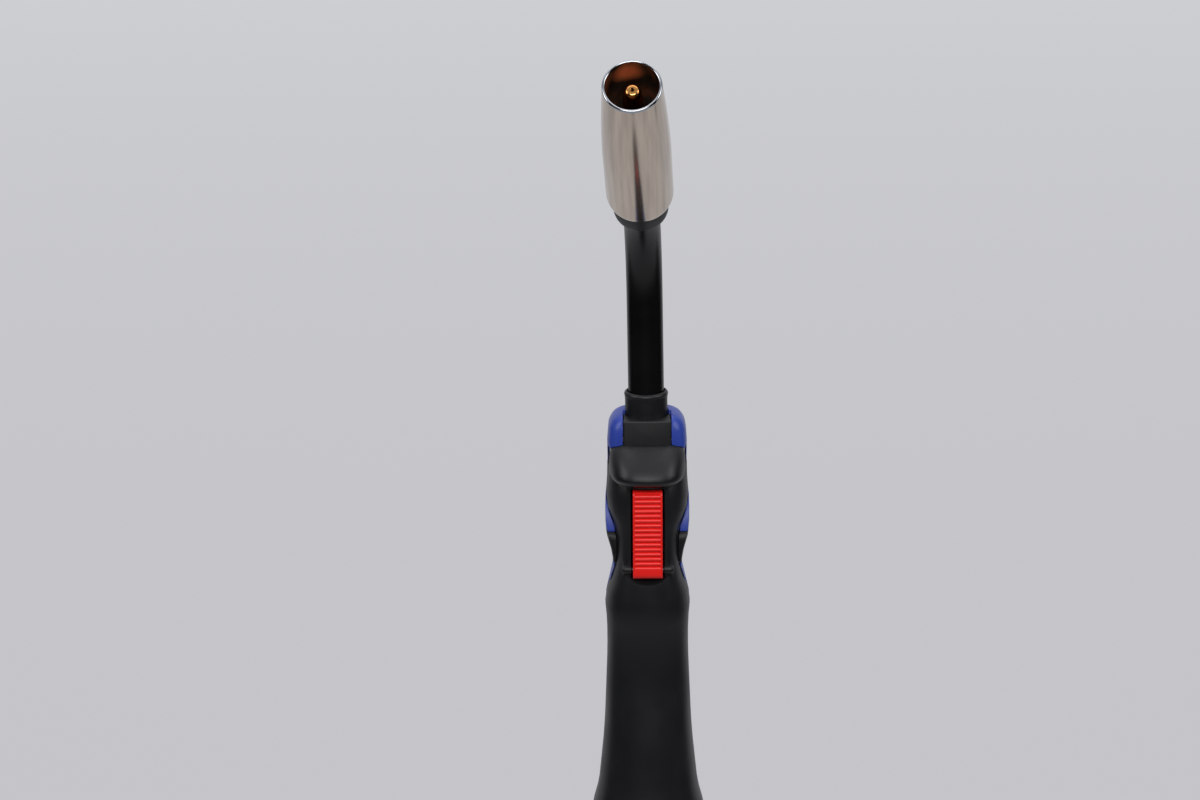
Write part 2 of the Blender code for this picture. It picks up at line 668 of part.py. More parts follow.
def screw_bore(side):
    """Clearance for a side screw: its shank through the wall, its head in a counterbore."""
    hole = rod("hole", (side * (BLOCK_HALF_WIDTH - MM), -SCREW_DEPTH, Z_SCREW), (side, 0, 0),
               10 * MM, SCREW_RADIUS + GAP, 16)
    seat = rod("seat", (side * (SCREW_SEAT - GAP), -SCREW_DEPTH, Z_SCREW), (side, 0, 0),
               10 * MM, SCREW_HEAD_RADIUS + 2 * GAP, 20)
    return add(hole, seat)


def pad_window(side, grow):
    """The side pad's outline as a block through one side of the handle."""
    outline = rounded((-PAD_FRONT - grow, Z_PAD_LOW - grow),
                      (PAD_BACK + grow, Z_PAD_LOW + PAD_HEIGHT + grow), 4 * MM + grow)
    low, high = sorted((side * 4 * MM, side * BIG))
    return prism("pad_window", outline, "X", low, high)


def pad_cutter(side, grow):
    window = pad_window(side, grow)
    core = body_solid("core", PAD_THICKNESS + grow, Z_BULGE - 4 * MM, Z_LIP)
    cut(core, box("before", (-BIG, -BIG, -BIG), (BIG, grow - 2 * GAP, BIG)))
    return cut(window, core)


def make_pad(name, side, material):
    pad = pad_cutter(side, 0.0)
    keep(pad, body_solid("outer", -0.05 * MM, Z_BULGE - 6 * MM, Z_LIP + 2 * MM))
    front = body_solid("front", -GAP, waisted=True)
    cut(front, box("behind", (-BIG, 0, -BIG), (BIG, BIG, BIG)))
    cut(pad, front)
    pad.name = pad.data.name = name
    pad.data.materials.clear()
    pad.data.materials.append(material)
    return pad


def make_rear_grip(material):
    """The soft skin over the lower half of the rear shell."""
    grip = body_solid("rear_grip", 0.0, high=Z_GRIP_TOP)
    cut(grip, box("front", (-BIG, -BIG, -BIG), (BIG, GAP / 2, BIG + Z_SHOULDER)))
    cut(grip, body_solid("core", GRIP_THICKNESS, -2 * MM, Z_GRIP_TOP + MM, inner=True))
    grip.name = "rear_grip"
    grip.data.materials.clear()
    grip.data.materials.append(material)
    return grip


def make_cable_socket(material):
    """The collar that takes the cable's ball joint: a spool held between the two shells."""
    neck, lip, inner, top, _ = socket_outline()
    face = SOCKET_STANDOUT - GAP
    outline = [(0, CABLE_RADIUS + MM), (0, lip - 1.2 * MM), (1.2 * MM, lip), (face - 0.8 * MM, lip),
               (face, lip - 0.8 * MM), (face, neck), (top + GAP, neck), (top + GAP, inner),
               (top + 2.6 * MM, inner), (top + 2.6 * MM, CABLE_RADIUS), (MM, CABLE_RADIUS)]
    return turned("cable_socket", outline, straight((0, 0, 0), (0, 0, 1)), material, 24)


def make_side_screw(name, side, material):
    """A socket-head screw through the shell's side into the clamp block."""
    tip = BLOCK_HALF_WIDTH - 4.5 * MM
    seat, top = SCREW_SEAT - tip, SCREW_SEAT - tip + SCREW_HEAD_HEIGHT
    outline = [(0, 0), (0, SCREW_RADIUS - 0.4 * MM), (0.4 * MM, SCREW_RADIUS), (seat, SCREW_RADIUS),
               (seat, SCREW_HEAD_RADIUS), (top - 0.4 * MM, SCREW_HEAD_RADIUS),
               (top, SCREW_HEAD_RADIUS - 0.4 * MM), (top, 0)]
    screw = turned(name, outline, straight((side * tip, -SCREW_DEPTH, Z_SCREW), (side, 0, 0)),
                   None, 18)
    socket = rod("socket", (side * (SCREW_SEAT + 0.9 * MM), -SCREW_DEPTH, Z_SCREW), (side, 0, 0),
                 5 * MM, SCREW_HEAD_RADIUS * 0.5, 6)
    cut(screw, socket)
    screw.name = screw.data.name = name
    screw.data.materials.clear()
    screw.data.materials.append(material)
    return screw


def make_clamp_block(material):
    """The brass block that clamps the neck, cross-bored for the side screws."""
    wide, deep = BLOCK_HALF_WIDTH, BLOCK_HALF_DEPTH
    block = box("neck_clamp_block", (-wide, -deep, Z_BLOCK_LOW), (wide, deep, Z_BLOCK_TOP),
                bevel=0.8 * MM, segments=1)
    cut(block, rod("bore", (0, 0, Z_BLOCK_LOW - MM), (0, 0, 1), BLOCK_HEIGHT + 2 * MM,
                   TUBE_RADIUS + GAP, 28))
    for side in (-1, 1):
        cut(block, rod("thread", (side * (wide - 4.9 * MM), -SCREW_DEPTH, Z_SCREW), (side, 0, 0),
                       8 * MM, SCREW_RADIUS + GAP, 16))
    block.name = block.data.name = "neck_clamp_block"
    block.data.materials.clear()
    block.data.materials.append(material)
    return block


def make_neck_nut(material):
    """The hexagon nut that draws the neck down on the connector."""
    radius = BLOCK_HALF_DEPTH / math.cos(math.pi / 6) * 0.86
    nut = rod("neck_nut", (0, 0, Z_NUT_LOW), (0, 0, 1), NUT_HEIGHT, radius, 6)
    round_off = turned("round_off", [(0, 0), (0, radius - 0.7 * MM), (0.7 * MM, radius),
                                     (NUT_HEIGHT - 0.7 * MM, radius),
                                     (NUT_HEIGHT, radius - 0.7 * MM), (NUT_HEIGHT, 0)],
                       straight((0, 0, Z_NUT_LOW), (0, 0, 1)), None, 24)
    keep(nut, round_off)
    cut(nut, rod("bore", (0, 0, Z_NUT_LOW - MM), (0, 0, 1), NUT_HEIGHT + 2 * MM,
                 TUBE_RADIUS + GAP, 24))
    nut.name = nut.data.name = "neck_nut"
    nut.data.materials.clear()
    nut.data.materials.append(material)
    return nut


def make_power_connector(material):
    """The cable's brass connector: a socket for the neck, a groove for a ring, a stem for the lead."""
    r, length = CONNECTOR_RADIUS, CONNECTOR_LENGTH
    stem = r - 1.4 * MM
    outline = [(0, CONNECTOR_BORE), (0, stem - 0.8 * MM), (0.8 * MM, stem)]
    for k in range(2):
        low = (4.0 + 6.0 * k) * MM
        outline += [(low, stem), (low + 0.5 * MM, stem - 0.7 * MM), (low + 2.4 * MM, stem)]
    outline += [(20 * MM, stem), (20 * MM, r), (32 * MM, r), (32 * MM, r - 1.0 * MM),
                (34 * MM, r - 1.0 * MM), (34 * MM, r), (length - 0.6 * MM, r),
                (length, r - 0.6 * MM), (length, CONNECTOR_HOLE),
                (length - CONNECTOR_SOCKET, CONNECTOR_HOLE),
                (length - CONNECTOR_SOCKET, CONNECTOR_BORE)]
    return turned("power_connector", outline, straight((0, 0, Z_CONNECTOR_LOW), (0, 0, 1)),
                  material, 16)


def make_seal_ring(material):
    """The rubber ring between the neck's end and the connector's shoulder."""
    middle, half = (CONNECTOR_BORE + CONNECTOR_HOLE) / 2 + 0.2 * MM, 0.5 * MM
    low = Z_CONNECTOR_TOP - CONNECTOR_SOCKET + GAP
    outline = [(half * 1.0 + half * v, middle + half * u) for u, v in arc((0, 0), 1.0, 0, 300, 5)]
    return turned("connector_seal_ring", outline, straight((0, 0, low), (0, 0, 1)), material, 16)


def make_neck_tube(material):
    """The copper tube that carries current and gas from the clamp to the tip holder."""
    low, high = Z_TUBE_LOW - Z_RIM, HEAD_START + TUBE_IN_HEAD
    outer = [(s, TUBE_RADIUS) for s in bend_steps(low, high)]
    inner = [(s, TUBE_BORE) for s in reversed(bend_steps(low, high))]
    return turned("neck_tube", outer + inner, neck_frame, material, 12)


def make_liner(material):
    """The sprung-steel wire guide inside the neck."""
    low, high = Z_CONNECTOR_LOW + 4 * MM - Z_RIM, HEAD_START + TIP_BACK - GAP
    outer = [(s, LINER_RADIUS) for s in bend_steps(low, high)]
    inner = [(s, LINER_BORE) for s in reversed(bend_steps(low, high))]
    return turned("wire_liner", outer + inner, neck_frame, material, 8)


def make_neck_jacket(material):
    low, high = Z_BLOCK_TOP + GAP - Z_RIM, HEAD_START - COLLAR_VISIBLE + 3.5 * MM
    outer = [(s, JACKET_RADIUS) for s in bend_steps(low, high)]
    inner = [(s, TUBE_RADIUS + GAP) for s in reversed(bend_steps(low, high))]
    return turned("neck_jacket", outer + inner, neck_frame, material, 24)


def make_root_sleeve(material):
    """The moulded sleeve round the neck where it leaves the handle, with its beaded rim."""
    low, r, bore = Z_BLOCK_TOP + GAP - Z_RIM, SLEEVE_RADIUS, JACKET_RADIUS + GAP
    outline = [(low, bore), (low, r), (-3.4 * MM, r), (-2.6 * MM, r + 0.05 * MM),
               (-1.6 * MM, r + 0.3 * MM), (-0.6 * MM, r + 0.2 * MM), (-0.1 * MM, r - 0.25 * MM),
               (0, r - 0.6 * MM), (-0.3 * MM, bore + 0.15 * MM), (-1.2 * MM, bore)]
    return turned("neck_root_sleeve", outline, neck_frame, material, 28)


def make_collar(material):
    """The insulating collar behind the nozzle, with the seat that the nozzle is pushed on."""
    r, back = COLLAR_RADIUS, -COLLAR_VISIBLE
    neck, tube = JACKET_RADIUS + GAP, TUBE_RADIUS + GAP
    root = neck + 0.6 * MM
    shoulder = [(back + COLLAR_SHOULDER * (1 - math.cos(a)), root + (r - root) * math.sin(a))
                for a in (math.radians(d) for d in (0, 18, 36, 54, 72, 90))]
    groove = 14 * MM
    outline = [(back, neck)] + shoulder + [
        (-GAP, r - 0.1 * MM), (-GAP, SEAT_RADIUS), (groove, SEAT_RADIUS),
        (groove, SEAT_RADIUS - 1.2 * MM), (groove + 1.6 * MM, SEAT_RADIUS - 1.2 * MM),
        (groove + 1.6 * MM, SEAT_RADIUS), (COLLAR_SEAT - 1.0 * MM, SEAT_RADIUS),
        (COLLAR_SEAT, SEAT_RADIUS - 1.0 * MM), (COLLAR_SEAT, tube),
        (back + 3.5 * MM + GAP, tube), (back + 3.5 * MM + GAP, neck)]
    return turned("nozzle_collar", outline, head_frame, material, 24)


def make_retaining_ring(material):
    """The split spring ring in the collar's groove, which grips the nozzle's bore."""
    middle, wire = SEAT_RADIUS - 0.45 * MM, 0.42 * MM
    along = 14.8 * MM
    bm = bmesh.new()
    rings = []
    for i in range(19):
        a = math.radians(15 + 330 * i / 18)
        out = Vector((math.cos(a), math.sin(a), 0))
        ring = [out * (middle + wire * math.cos(b)) + Vector((0, 0, wire * math.sin(b)))
                for b in (2 * math.pi * k / 5 for k in range(5))]
        rings.append([head_frame(along) @ p for p in ring])
    bm.free()
    return loft("nozzle_retaining_ring", rings, material)


def make_tip_holder(material):
    """The brass holder screwed on the neck tube; the tip screws into its front."""
    tube, guide, r = TUBE_RADIUS + GAP, LINER_RADIUS + GAP, HOLDER_RADIUS
    back, front = COLLAR_SEAT + GAP, TIP_BACK + TIP_THREAD - GAP
    rear = tube + 1.7 * MM
    socket = TIP_THREAD_RADIUS + GAP
    outline = [(back, tube), (back, rear), (back + 6 * MM, rear), (back + 6.8 * MM, r),
               (front - 0.8 * MM, r - 0.6 * MM), (front, r - 1.4 * MM), (front, socket),
               (TIP_BACK - 0.4 * MM, socket), (TIP_BACK - 0.4 * MM, guide),
               (TUBE_IN_HEAD + GAP, guide), (TUBE_IN_HEAD + GAP, tube)]
    return turned("tip_holder", outline, head_frame, material, 16)


def make_diffuser(material):
    """The gas distributor round the holder, with a ring of radial holes."""
    bore, r = HOLDER_RADIUS + GAP, DIFFUSER_RADIUS
    back, front = COLLAR_SEAT + 8.5 * MM, COLLAR_SEAT + 27 * MM
    outline = [(back, bore), (back, r - 0.6 * MM), (back + 0.6 * MM, r), (front - 2.2 * MM, r),
               (front, r - 1.2 * MM), (front, bore)]
    ring = turned("gas_diffuser", outline, head_frame, None, 18)
    holes = 6
    for k in range(holes):
        a = 2 * math.pi * (k + 0.5) / holes
        place = head_frame(front - 8 * MM)
        out = place.to_3x3() @ Vector((math.cos(a), math.sin(a), 0))
        start = place.translation + out * (bore - 2 * MM)
        cut(ring, rod("hole", start, out, 6 * MM, 1.0 * MM, 8))
    ring.name = ring.data.name = "gas_diffuser"
    ring.data.materials.clear()
    ring.data.materials.append(material)
    return ring


def make_tip(material):
    """The copper contact tip with its wire bore."""
    back, end, body = TIP_BACK, TIP_END, TIP_BACK + TIP_THREAD
    outline = [(back, TIP_BORE), (back, TIP_THREAD_RADIUS - 0.4 * MM),
               (back + 0.4 * MM, TIP_THREAD_RADIUS), (body, TIP_THREAD_RADIUS),
               (body, TIP_RADIUS), (end - TIP_TAPER, TIP_RADIUS),
               (end - 0.5 * MM, TIP_END_RADIUS + 0.1 * MM), (end, TIP_END_RADIUS - 0.4 * MM),
               (end, TIP_BORE)]
    return turned("contact_tip", outline, head_frame, material, 20)


def make_nozzle(material):
    """The gas nozzle: a plated copper barrel, bored to slide on the collar, its mouth rolled round."""
    r, mouth, length, wall = NOZZLE_RADIUS, MOUTH_RADIUS, NOZZLE_LENGTH, NOZZLE_WALL
    rear = SEAT_BORE + 1.1 * MM
    barrel = [(0.0, rear - 0.4 * MM), (0.3 * MM, rear), (1.2 * MM, rear + 0.55 * (r - rear)),
              (2.6 * MM, rear + 0.85 * (r - rear)), (4.6 * MM, r - 0.05 * MM), (7 * MM, r)]
    taper_from = 0.42 * length
    barrel.append((taper_from, r))
    for k in range(1, 8):
        t = k / 7
        along = taper_from + (length - wall - taper_from) * t
        barrel.append((along, r - (r - mouth) * t ** 1.7))
    lip = [(length - wall / 2 + wall / 2 * math.sin(a), mouth - wall / 2 + wall / 2 * math.cos(a))
           for a in (math.radians(d) for d in (30, 60, 90, 120, 150))]
    bore_front = mouth - wall
    inside = [(length - wall, bore_front), (length - 12 * MM, bore_front + 0.3 * MM),
              (length - 26 * MM, SEAT_BORE + 0.7 * MM), (COLLAR_SEAT + 5 * MM, SEAT_BORE + 0.7 * MM),
              (COLLAR_SEAT + 3 * MM, SEAT_BORE), (0.0, SEAT_BORE)]
    return turned("gas_nozzle", barrel + lip + inside, head_frame, material, 32)


def make_trigger(material):
    """The ribbed trigger: a hollow cap on its pivot, with a post for the switch and a stop lug."""
    half, face, low, top = TRIGGER_WIDTH / 2, TRIGGER_FACE, Z_TRIGGER_LOW, Z_TRIGGER_TOP
    edge = SKIRT_EDGE
    outline = [(-edge, low + 2.0 * MM)]
    outline += arc((-face + 2.4 * MM, low + 2.4 * MM), 2.4 * MM, 270, 180, 5)
    outline += arc((-face + 1.4 * MM, top - 1.4 * MM), 1.4 * MM, 180, 90, 4)
    outline += [(-edge, top)]
    trigger = prism("trigger", outline, "X", -half, half)
    bm = bmesh.new()
    bm.from_mesh(trigger.data)
    sides = [e for e in bm.edges if abs(e.verts[0].co.x - e.verts[1].co.x) < 0.01 * MM
             and all(v.co.y < -edge - 0.1 * MM for v in e.verts)]
    bmesh.ops.bevel(bm, geom=sides, offset=0.5 * MM, segments=2, profile=0.5, affect="EDGES")
    bm.to_mesh(trigger.data)
    bm.free()
    wall = TRIGGER_WALL
    inner = half - 1.7 * MM
    cut(trigger, box("hollow", (-inner, -face + wall, Z_PIVOT + 3.2 * MM),
                     (inner, -edge + 10 * MM, top - wall)))
    first = top - 2.9 * MM
    for k in range(TRIGGER_RIBS):
        z = first - k * RIB_PITCH
        v = [(-face - MM, z + 0.75 * MM), (-face - MM, z - 0.62 * MM),
             (-face + RIB_DEPTH, z - 0.16 * MM), (-face + RIB_DEPTH, z + 0.16 * MM)]
        cut(trigger, prism("groove", v, "X", -half + 0.55 * MM, half - 0.55 * MM))
    post = 1.5 * MM
    add(trigger, box("post", (-post, -face + wall - 0.5 * MM, Z_PLUNGER - post),
                     (post, -PLUNGER_FACE - GAP, Z_PLUNGER + post)))
    lug = box("lug", (-4.6 * MM, -edge - 1.2 * MM, top - wall + 0.4 * MM),
              (4.6 * MM, -edge + 0.05 * MM, top + 2.6 * MM))
    add(trigger, lug)
    cut(trigger, rod("pin_hole", (-half - MM, -PIVOT_DEPTH, Z_PIVOT), (1, 0, 0),
                     TRIGGER_WIDTH + 2 * MM, PIVOT_PIN_RADIUS + GAP, 24))
    trigger.name = trigger.data.name = "trigger"
    trigger.data.materials.clear()
    trigger.data.materials.append(material)
    return trigger


def make_trigger_pin(material):
    reach = PIVOT_BOSS_REACH - 0.9 * MM - GAP
    return rod("trigger_pin", (-reach, -PIVOT_DEPTH, Z_PIVOT), (1, 0, 0), 2 * reach,
               PIVOT_PIN_RADIUS, 24, material, chamfer=0.2 * MM)


def make_trigger_spring(material):
    """A helical compression spring between the carrier and the trigger."""
    low, high = CARRIER_FACE + GAP + SPRING_WIRE, INNER_FACE - GAP - SPRING_WIRE
    steps = 8 * SPRING_TURNS
    middle = SPRING_RADIUS - SPRING_WIRE
    curve = bpy.data.curves.new("trigger_spring", "CURVE")
    curve.dimensions = "3D"
    curve.bevel_depth = SPRING_WIRE
    curve.bevel_resolution = 1
    curve.use_fill_caps = True
    spline = curve.splines.new("POLY")
    spline.points.add(steps)
    for i, point in enumerate(spline.points):
        a = 2 * math.pi * i / 8
        y = -(low + (high - low) * i / steps)
        point.co = (middle * math.cos(a), y, Z_SPRING + middle * math.sin(a), 1)
    curve.materials.append(material)
    obj = bpy.data.objects.new("trigger_spring", curve)
    bpy.context.scene.collection.objects.link(obj)
    pitch = (high - low) / SPRING_TURNS
    print(f"trigger_spring: least gap between turns {(pitch - 2 * SPRING_WIRE) / MM:.2f} mm")
    return obj


def make_switch_carrier(material):
    """The plate behind the switch, with two cheeks that hold it and a seat for the spring."""
    wide = CARRIER_HALF_WIDTH
    low, high = Z_PIVOT + 4.0 * MM, Z_BLOCK_LOW - 2 * GAP
    plate = box("switch_carrier", (-wide, -CARRIER_FACE, low), (wide, -CARRIER_BACK, high),
                bevel=0.3 * MM, segments=1)
    for side in (-1, 1):
        near, far = SWITCH_WIDTH / 2 + GAP, TRIGGER_WIDTH / 2 - 1.7 * MM - GAP
        x0, x1 = sorted((side * near, side * far))
        add(plate, box("cheek", (x0, -CARRIER_FACE - 4 * MM, Z_SWITCH_LOW + MM),
                       (x1, -CARRIER_FACE + 0.5 * MM, Z_SWITCH_TOP - MM)))
    plate.name = plate.data.name = "switch_carrier"
    plate.data.materials.clear()
    plate.data.materials.append(material)
    return plate


def make_switch_body(material):
    half = SWITCH_WIDTH / 2
    body = box("switch_body", (-half, -SWITCH_FACE, Z_SWITCH_LOW),
               (half, -CARRIER_FACE - GAP, Z_SWITCH_TOP), bevel=0.35 * MM)
    cut(body, box("plunger_well", (-1.3 * MM, -BIG, Z_PLUNGER - 1.3 * MM),
                  (1.3 * MM, -SWITCH_FACE + 2.2 * MM, Z_PLUNGER + 1.3 * MM)))
    body.name = body.data.name = "switch_body"
    body.data.materials.clear()
    body.data.materials.append(material)
    return body


def make_switch_plunger(material):
    half, travel = 1.0 * MM, PLUNGER_ARM * math.radians(TRIGGER_TRAVEL)
    back = SWITCH_FACE - 2.2 * MM + travel + GAP
    plunger = box("switch_plunger", (-half, -PLUNGER_FACE, Z_PLUNGER - half),
                  (half, -back, Z_PLUNGER + half), bevel=0.3 * MM)
    plunger.data.materials.append(material)
    return plunger


def make_terminal(name, depth, material):
    """A flat blade out of the switch's upper end, with its hole."""
    low, high = Z_SWITCH_TOP + GAP, Z_SWITCH_TOP + 5.8 * MM
    outline = [(-1.4 * MM, low), (1.4 * MM, low), (1.4 * MM, high - 0.9 * MM),
               (0.7 * MM, high), (-0.7 * MM, high), (-1.4 * MM, high - 0.9 * MM)]
    blade = prism(name, outline, "Y", -depth - 0.25 * MM, -depth + 0.25 * MM)
    cut(blade, rod("eye", (0, -depth - MM, high - 2.4 * MM), (0, 1, 0), 2 * MM, 0.6 * MM, 12))
    blade.name = blade.data.name = name
    blade.data.materials.clear()
    blade.data.materials.append(material)
    return blade


def set_origin(obj, point):
    """Move an object's origin to its joint, its faces staying where they are."""
    obj.data.transform(Matrix.Translation(-Vector(point)))
    obj.location = point


def main():
    for obj in list(bpy.data.objects):
        bpy.data.objects.remove(obj)
    black = finish_material("black_nylon", (0.016, 0.017, 0.018), 0.48)
    soft = finish_material("soft_rubber", (0.012, 0.012, 0.013), 0.62)
    jacket = finish_material("neck_jacket", (0.006, 0.006, 0.007), 0.35)
    blue = finish_material("blue_nylon", (0.028, 0.036, 0.27), 0.38)
    red = finish_material("red_nylon", (0.80, 0.014, 0.010), 0.36)
    nickel = finish_material("nickel", (0.66, 0.60, 0.54), 0.24, 1.0)
    copper = finish_material("copper", (0.80, 0.36, 0.19), 0.25, 1.0)
    brass = finish_material("brass", (0.78, 0.58, 0.26), 0.30, 1.0)
    steel = finish_material("steel", (0.56, 0.56, 0.57), 0.30, 1.0)
    ceramic = finish_material("ceramic", (0.74, 0.70, 0.62), 0.5)
    dark = finish_material("switch_black", (0.02, 0.02, 0.02), 0.4)

    make_front_shell(black)
    make_rear_shell(blue)
    make_pad("grip_pad_left", -1, soft)
    make_pad("grip_pad_right", 1, soft)
    make_rear_grip(soft)
    make_cable_socket(black)
    make_side_screw("side_screw_left", -1, steel)
    make_side_screw("side_screw_right", 1, steel)
    make_clamp_block(brass)
    make_neck_nut(brass)
    make_power_connector(brass)
    make_seal_ring(soft)
    make_neck_tube(copper)
    make_liner(steel)
    make_neck_jacket(jacket)
    make_root_sleeve(black)
    make_collar(black)
    make_retaining_ring(steel)
    make_tip_holder(brass)
    make_diffuser(ceramic)
    make_tip(copper)
    set_origin(make_nozzle(nickel), head_frame(0).translation)
    set_origin(make_trigger(red), (0, -PIVOT_DEPTH, Z_PIVOT))
    make_trigger_pin(steel)
    make_trigger_spring(steel)
    make_switch_carrier(black)
    make_switch_body(dark)
    set_origin(make_switch_plunger(red), (0, -PLUNGER_FACE, Z_PLUNGER))
    for k in range(2):
        make_terminal(f"switch_terminal_{'common' if k else 'open'}",
                      CARRIER_FACE + GAP + (1.4 + 2.4 * k) * MM, brass)


main()
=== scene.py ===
import math

import bmesh
import bpy
from mathutils import Matrix, Vector


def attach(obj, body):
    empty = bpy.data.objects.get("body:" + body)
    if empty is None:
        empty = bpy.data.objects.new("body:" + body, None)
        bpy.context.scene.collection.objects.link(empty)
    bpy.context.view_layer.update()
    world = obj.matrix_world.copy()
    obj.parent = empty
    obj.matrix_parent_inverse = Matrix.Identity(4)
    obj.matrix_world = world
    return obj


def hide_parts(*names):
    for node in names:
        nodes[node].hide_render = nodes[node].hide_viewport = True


# Looks of a gas-shielded wire welding gun. The frame brings its pieces in metres:
# the handle stands along +Z, the trigger looks along -Y and the neck bends that way.

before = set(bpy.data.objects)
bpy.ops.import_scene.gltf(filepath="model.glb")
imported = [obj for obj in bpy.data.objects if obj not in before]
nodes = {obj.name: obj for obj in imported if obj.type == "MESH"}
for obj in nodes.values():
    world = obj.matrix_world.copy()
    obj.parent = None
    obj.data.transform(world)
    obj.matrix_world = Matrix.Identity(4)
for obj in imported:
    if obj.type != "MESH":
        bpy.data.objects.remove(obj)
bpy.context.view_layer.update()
mm = 0.001
print("frame loaded:", len(nodes), "nodes")


def colour(hexValue):
    # sRGB hex to the linear values that a shader takes
    parts = [int(hexValue[i:i + 2], 16) / 255 for i in (1, 3, 5)]
    return tuple(p / 12.92 if p <= 0.04045 else ((p + 0.055) / 1.055) ** 2.4 for p in parts) + (1.0,)


def newMaterial(name):
    material = bpy.data.materials.new(name)
    material.use_nodes = True
    material.node_tree.nodes.clear()
    return material


def add(owner, kind, links=None, **values):
    # adds one shader node to a material or a world, sets sockets by name and links others from earlier nodes
    node = owner.node_tree.nodes.new(kind)
    for key, value in values.items():
        if hasattr(node, key):
            setattr(node, key, value)
        else:
            node.inputs[key.replace("_", " ")].default_value = value
    for socket, source in (links or {}).items():
        owner.node_tree.links.new(source, node.inputs[socket])
    return node


def finishWith(material, shader):
    output = material.node_tree.nodes.new("ShaderNodeOutputMaterial")
    material.node_tree.links.new(shader.outputs[0], output.inputs["Surface"])
    return material


# the neck's line: up through the clamp, bent towards the trigger's side, then straight to the head
neckLine = dict(clampLevel=0.1797, lean=0.64, turn=2.45, rimLevel=0.206, straight=36.5 * mm,
                bendRadius=55 * mm, bend=48.0, pastBend=16 * mm)
neckTurn = (Matrix.Translation((0, 0, neckLine["clampLevel"]))
            @ Matrix.Rotation(-math.radians(neckLine["lean"]), 4, "Y")
            @ Matrix.Translation((0, 0, -neckLine["clampLevel"]))
            @ Matrix.Rotation(-math.radians(neckLine["turn"]), 4, "Z"))


def headPlace():
    # where the back of the gas nozzle sits, its axis along +Z
    bend, radius = math.radians(neckLine["bend"]), neckLine["bendRadius"]
    forward = radius * (1 - math.cos(bend)) + neckLine["pastBend"] * math.sin(bend)
    level = (neckLine["rimLevel"] + neckLine["straight"] + radius * math.sin(bend)
             + neckLine["pastBend"] * math.cos(bend))
    return neckTurn @ Matrix.Translation((0, -forward, level)) @ Matrix.Rotation(bend, 4, "X")


# moulded plastics: grain is the width of the mould's texture and depth its height, soft the spread of the gloss
plastics = {
    # glass-filled nylon from a spark-eroded mould: deep black with a broad satin sheen
    "blackNylon": dict(base="#101113", rough=0.45, grain=0.45 * mm, depth=0.010 * mm, soft=0.04, specular=0.33),
    # soft thermoplastic rubber moulded over the shell: duller black that takes the light softly
    "softGrip": dict(base="#0F1011", rough=0.52, grain=0.35 * mm, depth=0.012 * mm, soft=0.05, specular=0.30),
    # shrunk insulating sleeve: the blackest, smooth enough for a narrow line of light along it
    "neckSleeve": dict(base="#060607", rough=0.32, grain=0.9 * mm, depth=0.003 * mm, soft=0.03, specular=0.30),
    # coloured nylon from a polished mould: strong blue with soft highlights on its roundings
    "blueNylon": dict(base="#2C4097", rough=0.36, grain=0.4 * mm, depth=0.004 * mm, soft=0.04, specular=0.32),
    # coloured nylon: bright red ribs with a light line on each
    "redNylon": dict(base="#E61E19", rough=0.40, grain=0.4 * mm, depth=0.002 * mm, soft=0.03, specular=0.4),
    # smooth thermoset case of the switch: shinier than the shells
    "switchCase": dict(base="#1A1A1C", rough=0.30, grain=0.5 * mm, depth=0.004 * mm, soft=0.03, specular=0.5),
}
plasticCloud = 14 * mm      # width of the clouds in which a moulding's gloss changes


def plasticMaterial(name, base, rough, grain, depth, soft, specular):
    material = newMaterial(name)
    place = add(material, "ShaderNodeTexCoord")
    cloud = add(material, "ShaderNodeTexNoise", {"Vector": place.outputs["Object"]},
                Scale=1 / plasticCloud, Detail=3.0)
    gloss = add(material, "ShaderNodeMapRange", {"Value": cloud.outputs["Fac"]},
                From_Min=0.3, From_Max=0.7, To_Min=rough - soft, To_Max=rough + soft)
    fine = add(material, "ShaderNodeTexNoise", {"Vector": place.outputs["Object"]},
               Scale=1 / grain, Detail=2.0, Roughness=0.6)
    bump = add(material, "ShaderNodeBump", {"Height": fine.outputs["Fac"]}, Distance=depth)
    shader = add(material, "ShaderNodeBsdfPrincipled",
                 {"Roughness": gloss.outputs["Result"], "Normal": bump.outputs["Normal"]},
                 Base_Color=colour(base), Specular_IOR_Level=specular)
    return finishWith(material, shader)


# bare and plated metals: grain is the width of the marks that turning or polishing left
metals = {
    # turned copper, browned by heat: warm gold-brown with a sharp bright spot
    "tipCopper": dict(base="#C08A50", rough=0.17, grain=0.5 * mm, depth=0.002 * mm),
    # polished nickel plate on the rolled rim: bright line with dark edges
    "polishedNickel": dict(base="#A6A9AE", rough=0.12, grain=0.5 * mm, depth=0.001 * mm),
    # drawn copper tube: pinkish, softly shining
    "copper": dict(base="#D98A5C", rough=0.28, grain=0.4 * mm, depth=0.003 * mm),
    # turned brass: pale yellow, softly shining
    "brass": dict(base="#CDAA62", rough=0.28, grain=0.4 * mm, depth=0.003 * mm),
    # zinc-plated or spring steel: pale grey with clear reflections
    "steel": dict(base="#C4C4C6", rough=0.26, grain=0.3 * mm, depth=0.003 * mm),
    # blackened steel: dark grey with a dull shine
    "blackenedSteel": dict(base="#4A4A4C", rough=0.34, grain=0.3 * mm, depth=0.003 * mm),
}
metalCloud = 9 * mm     # width of the clouds in which a metal's shine changes


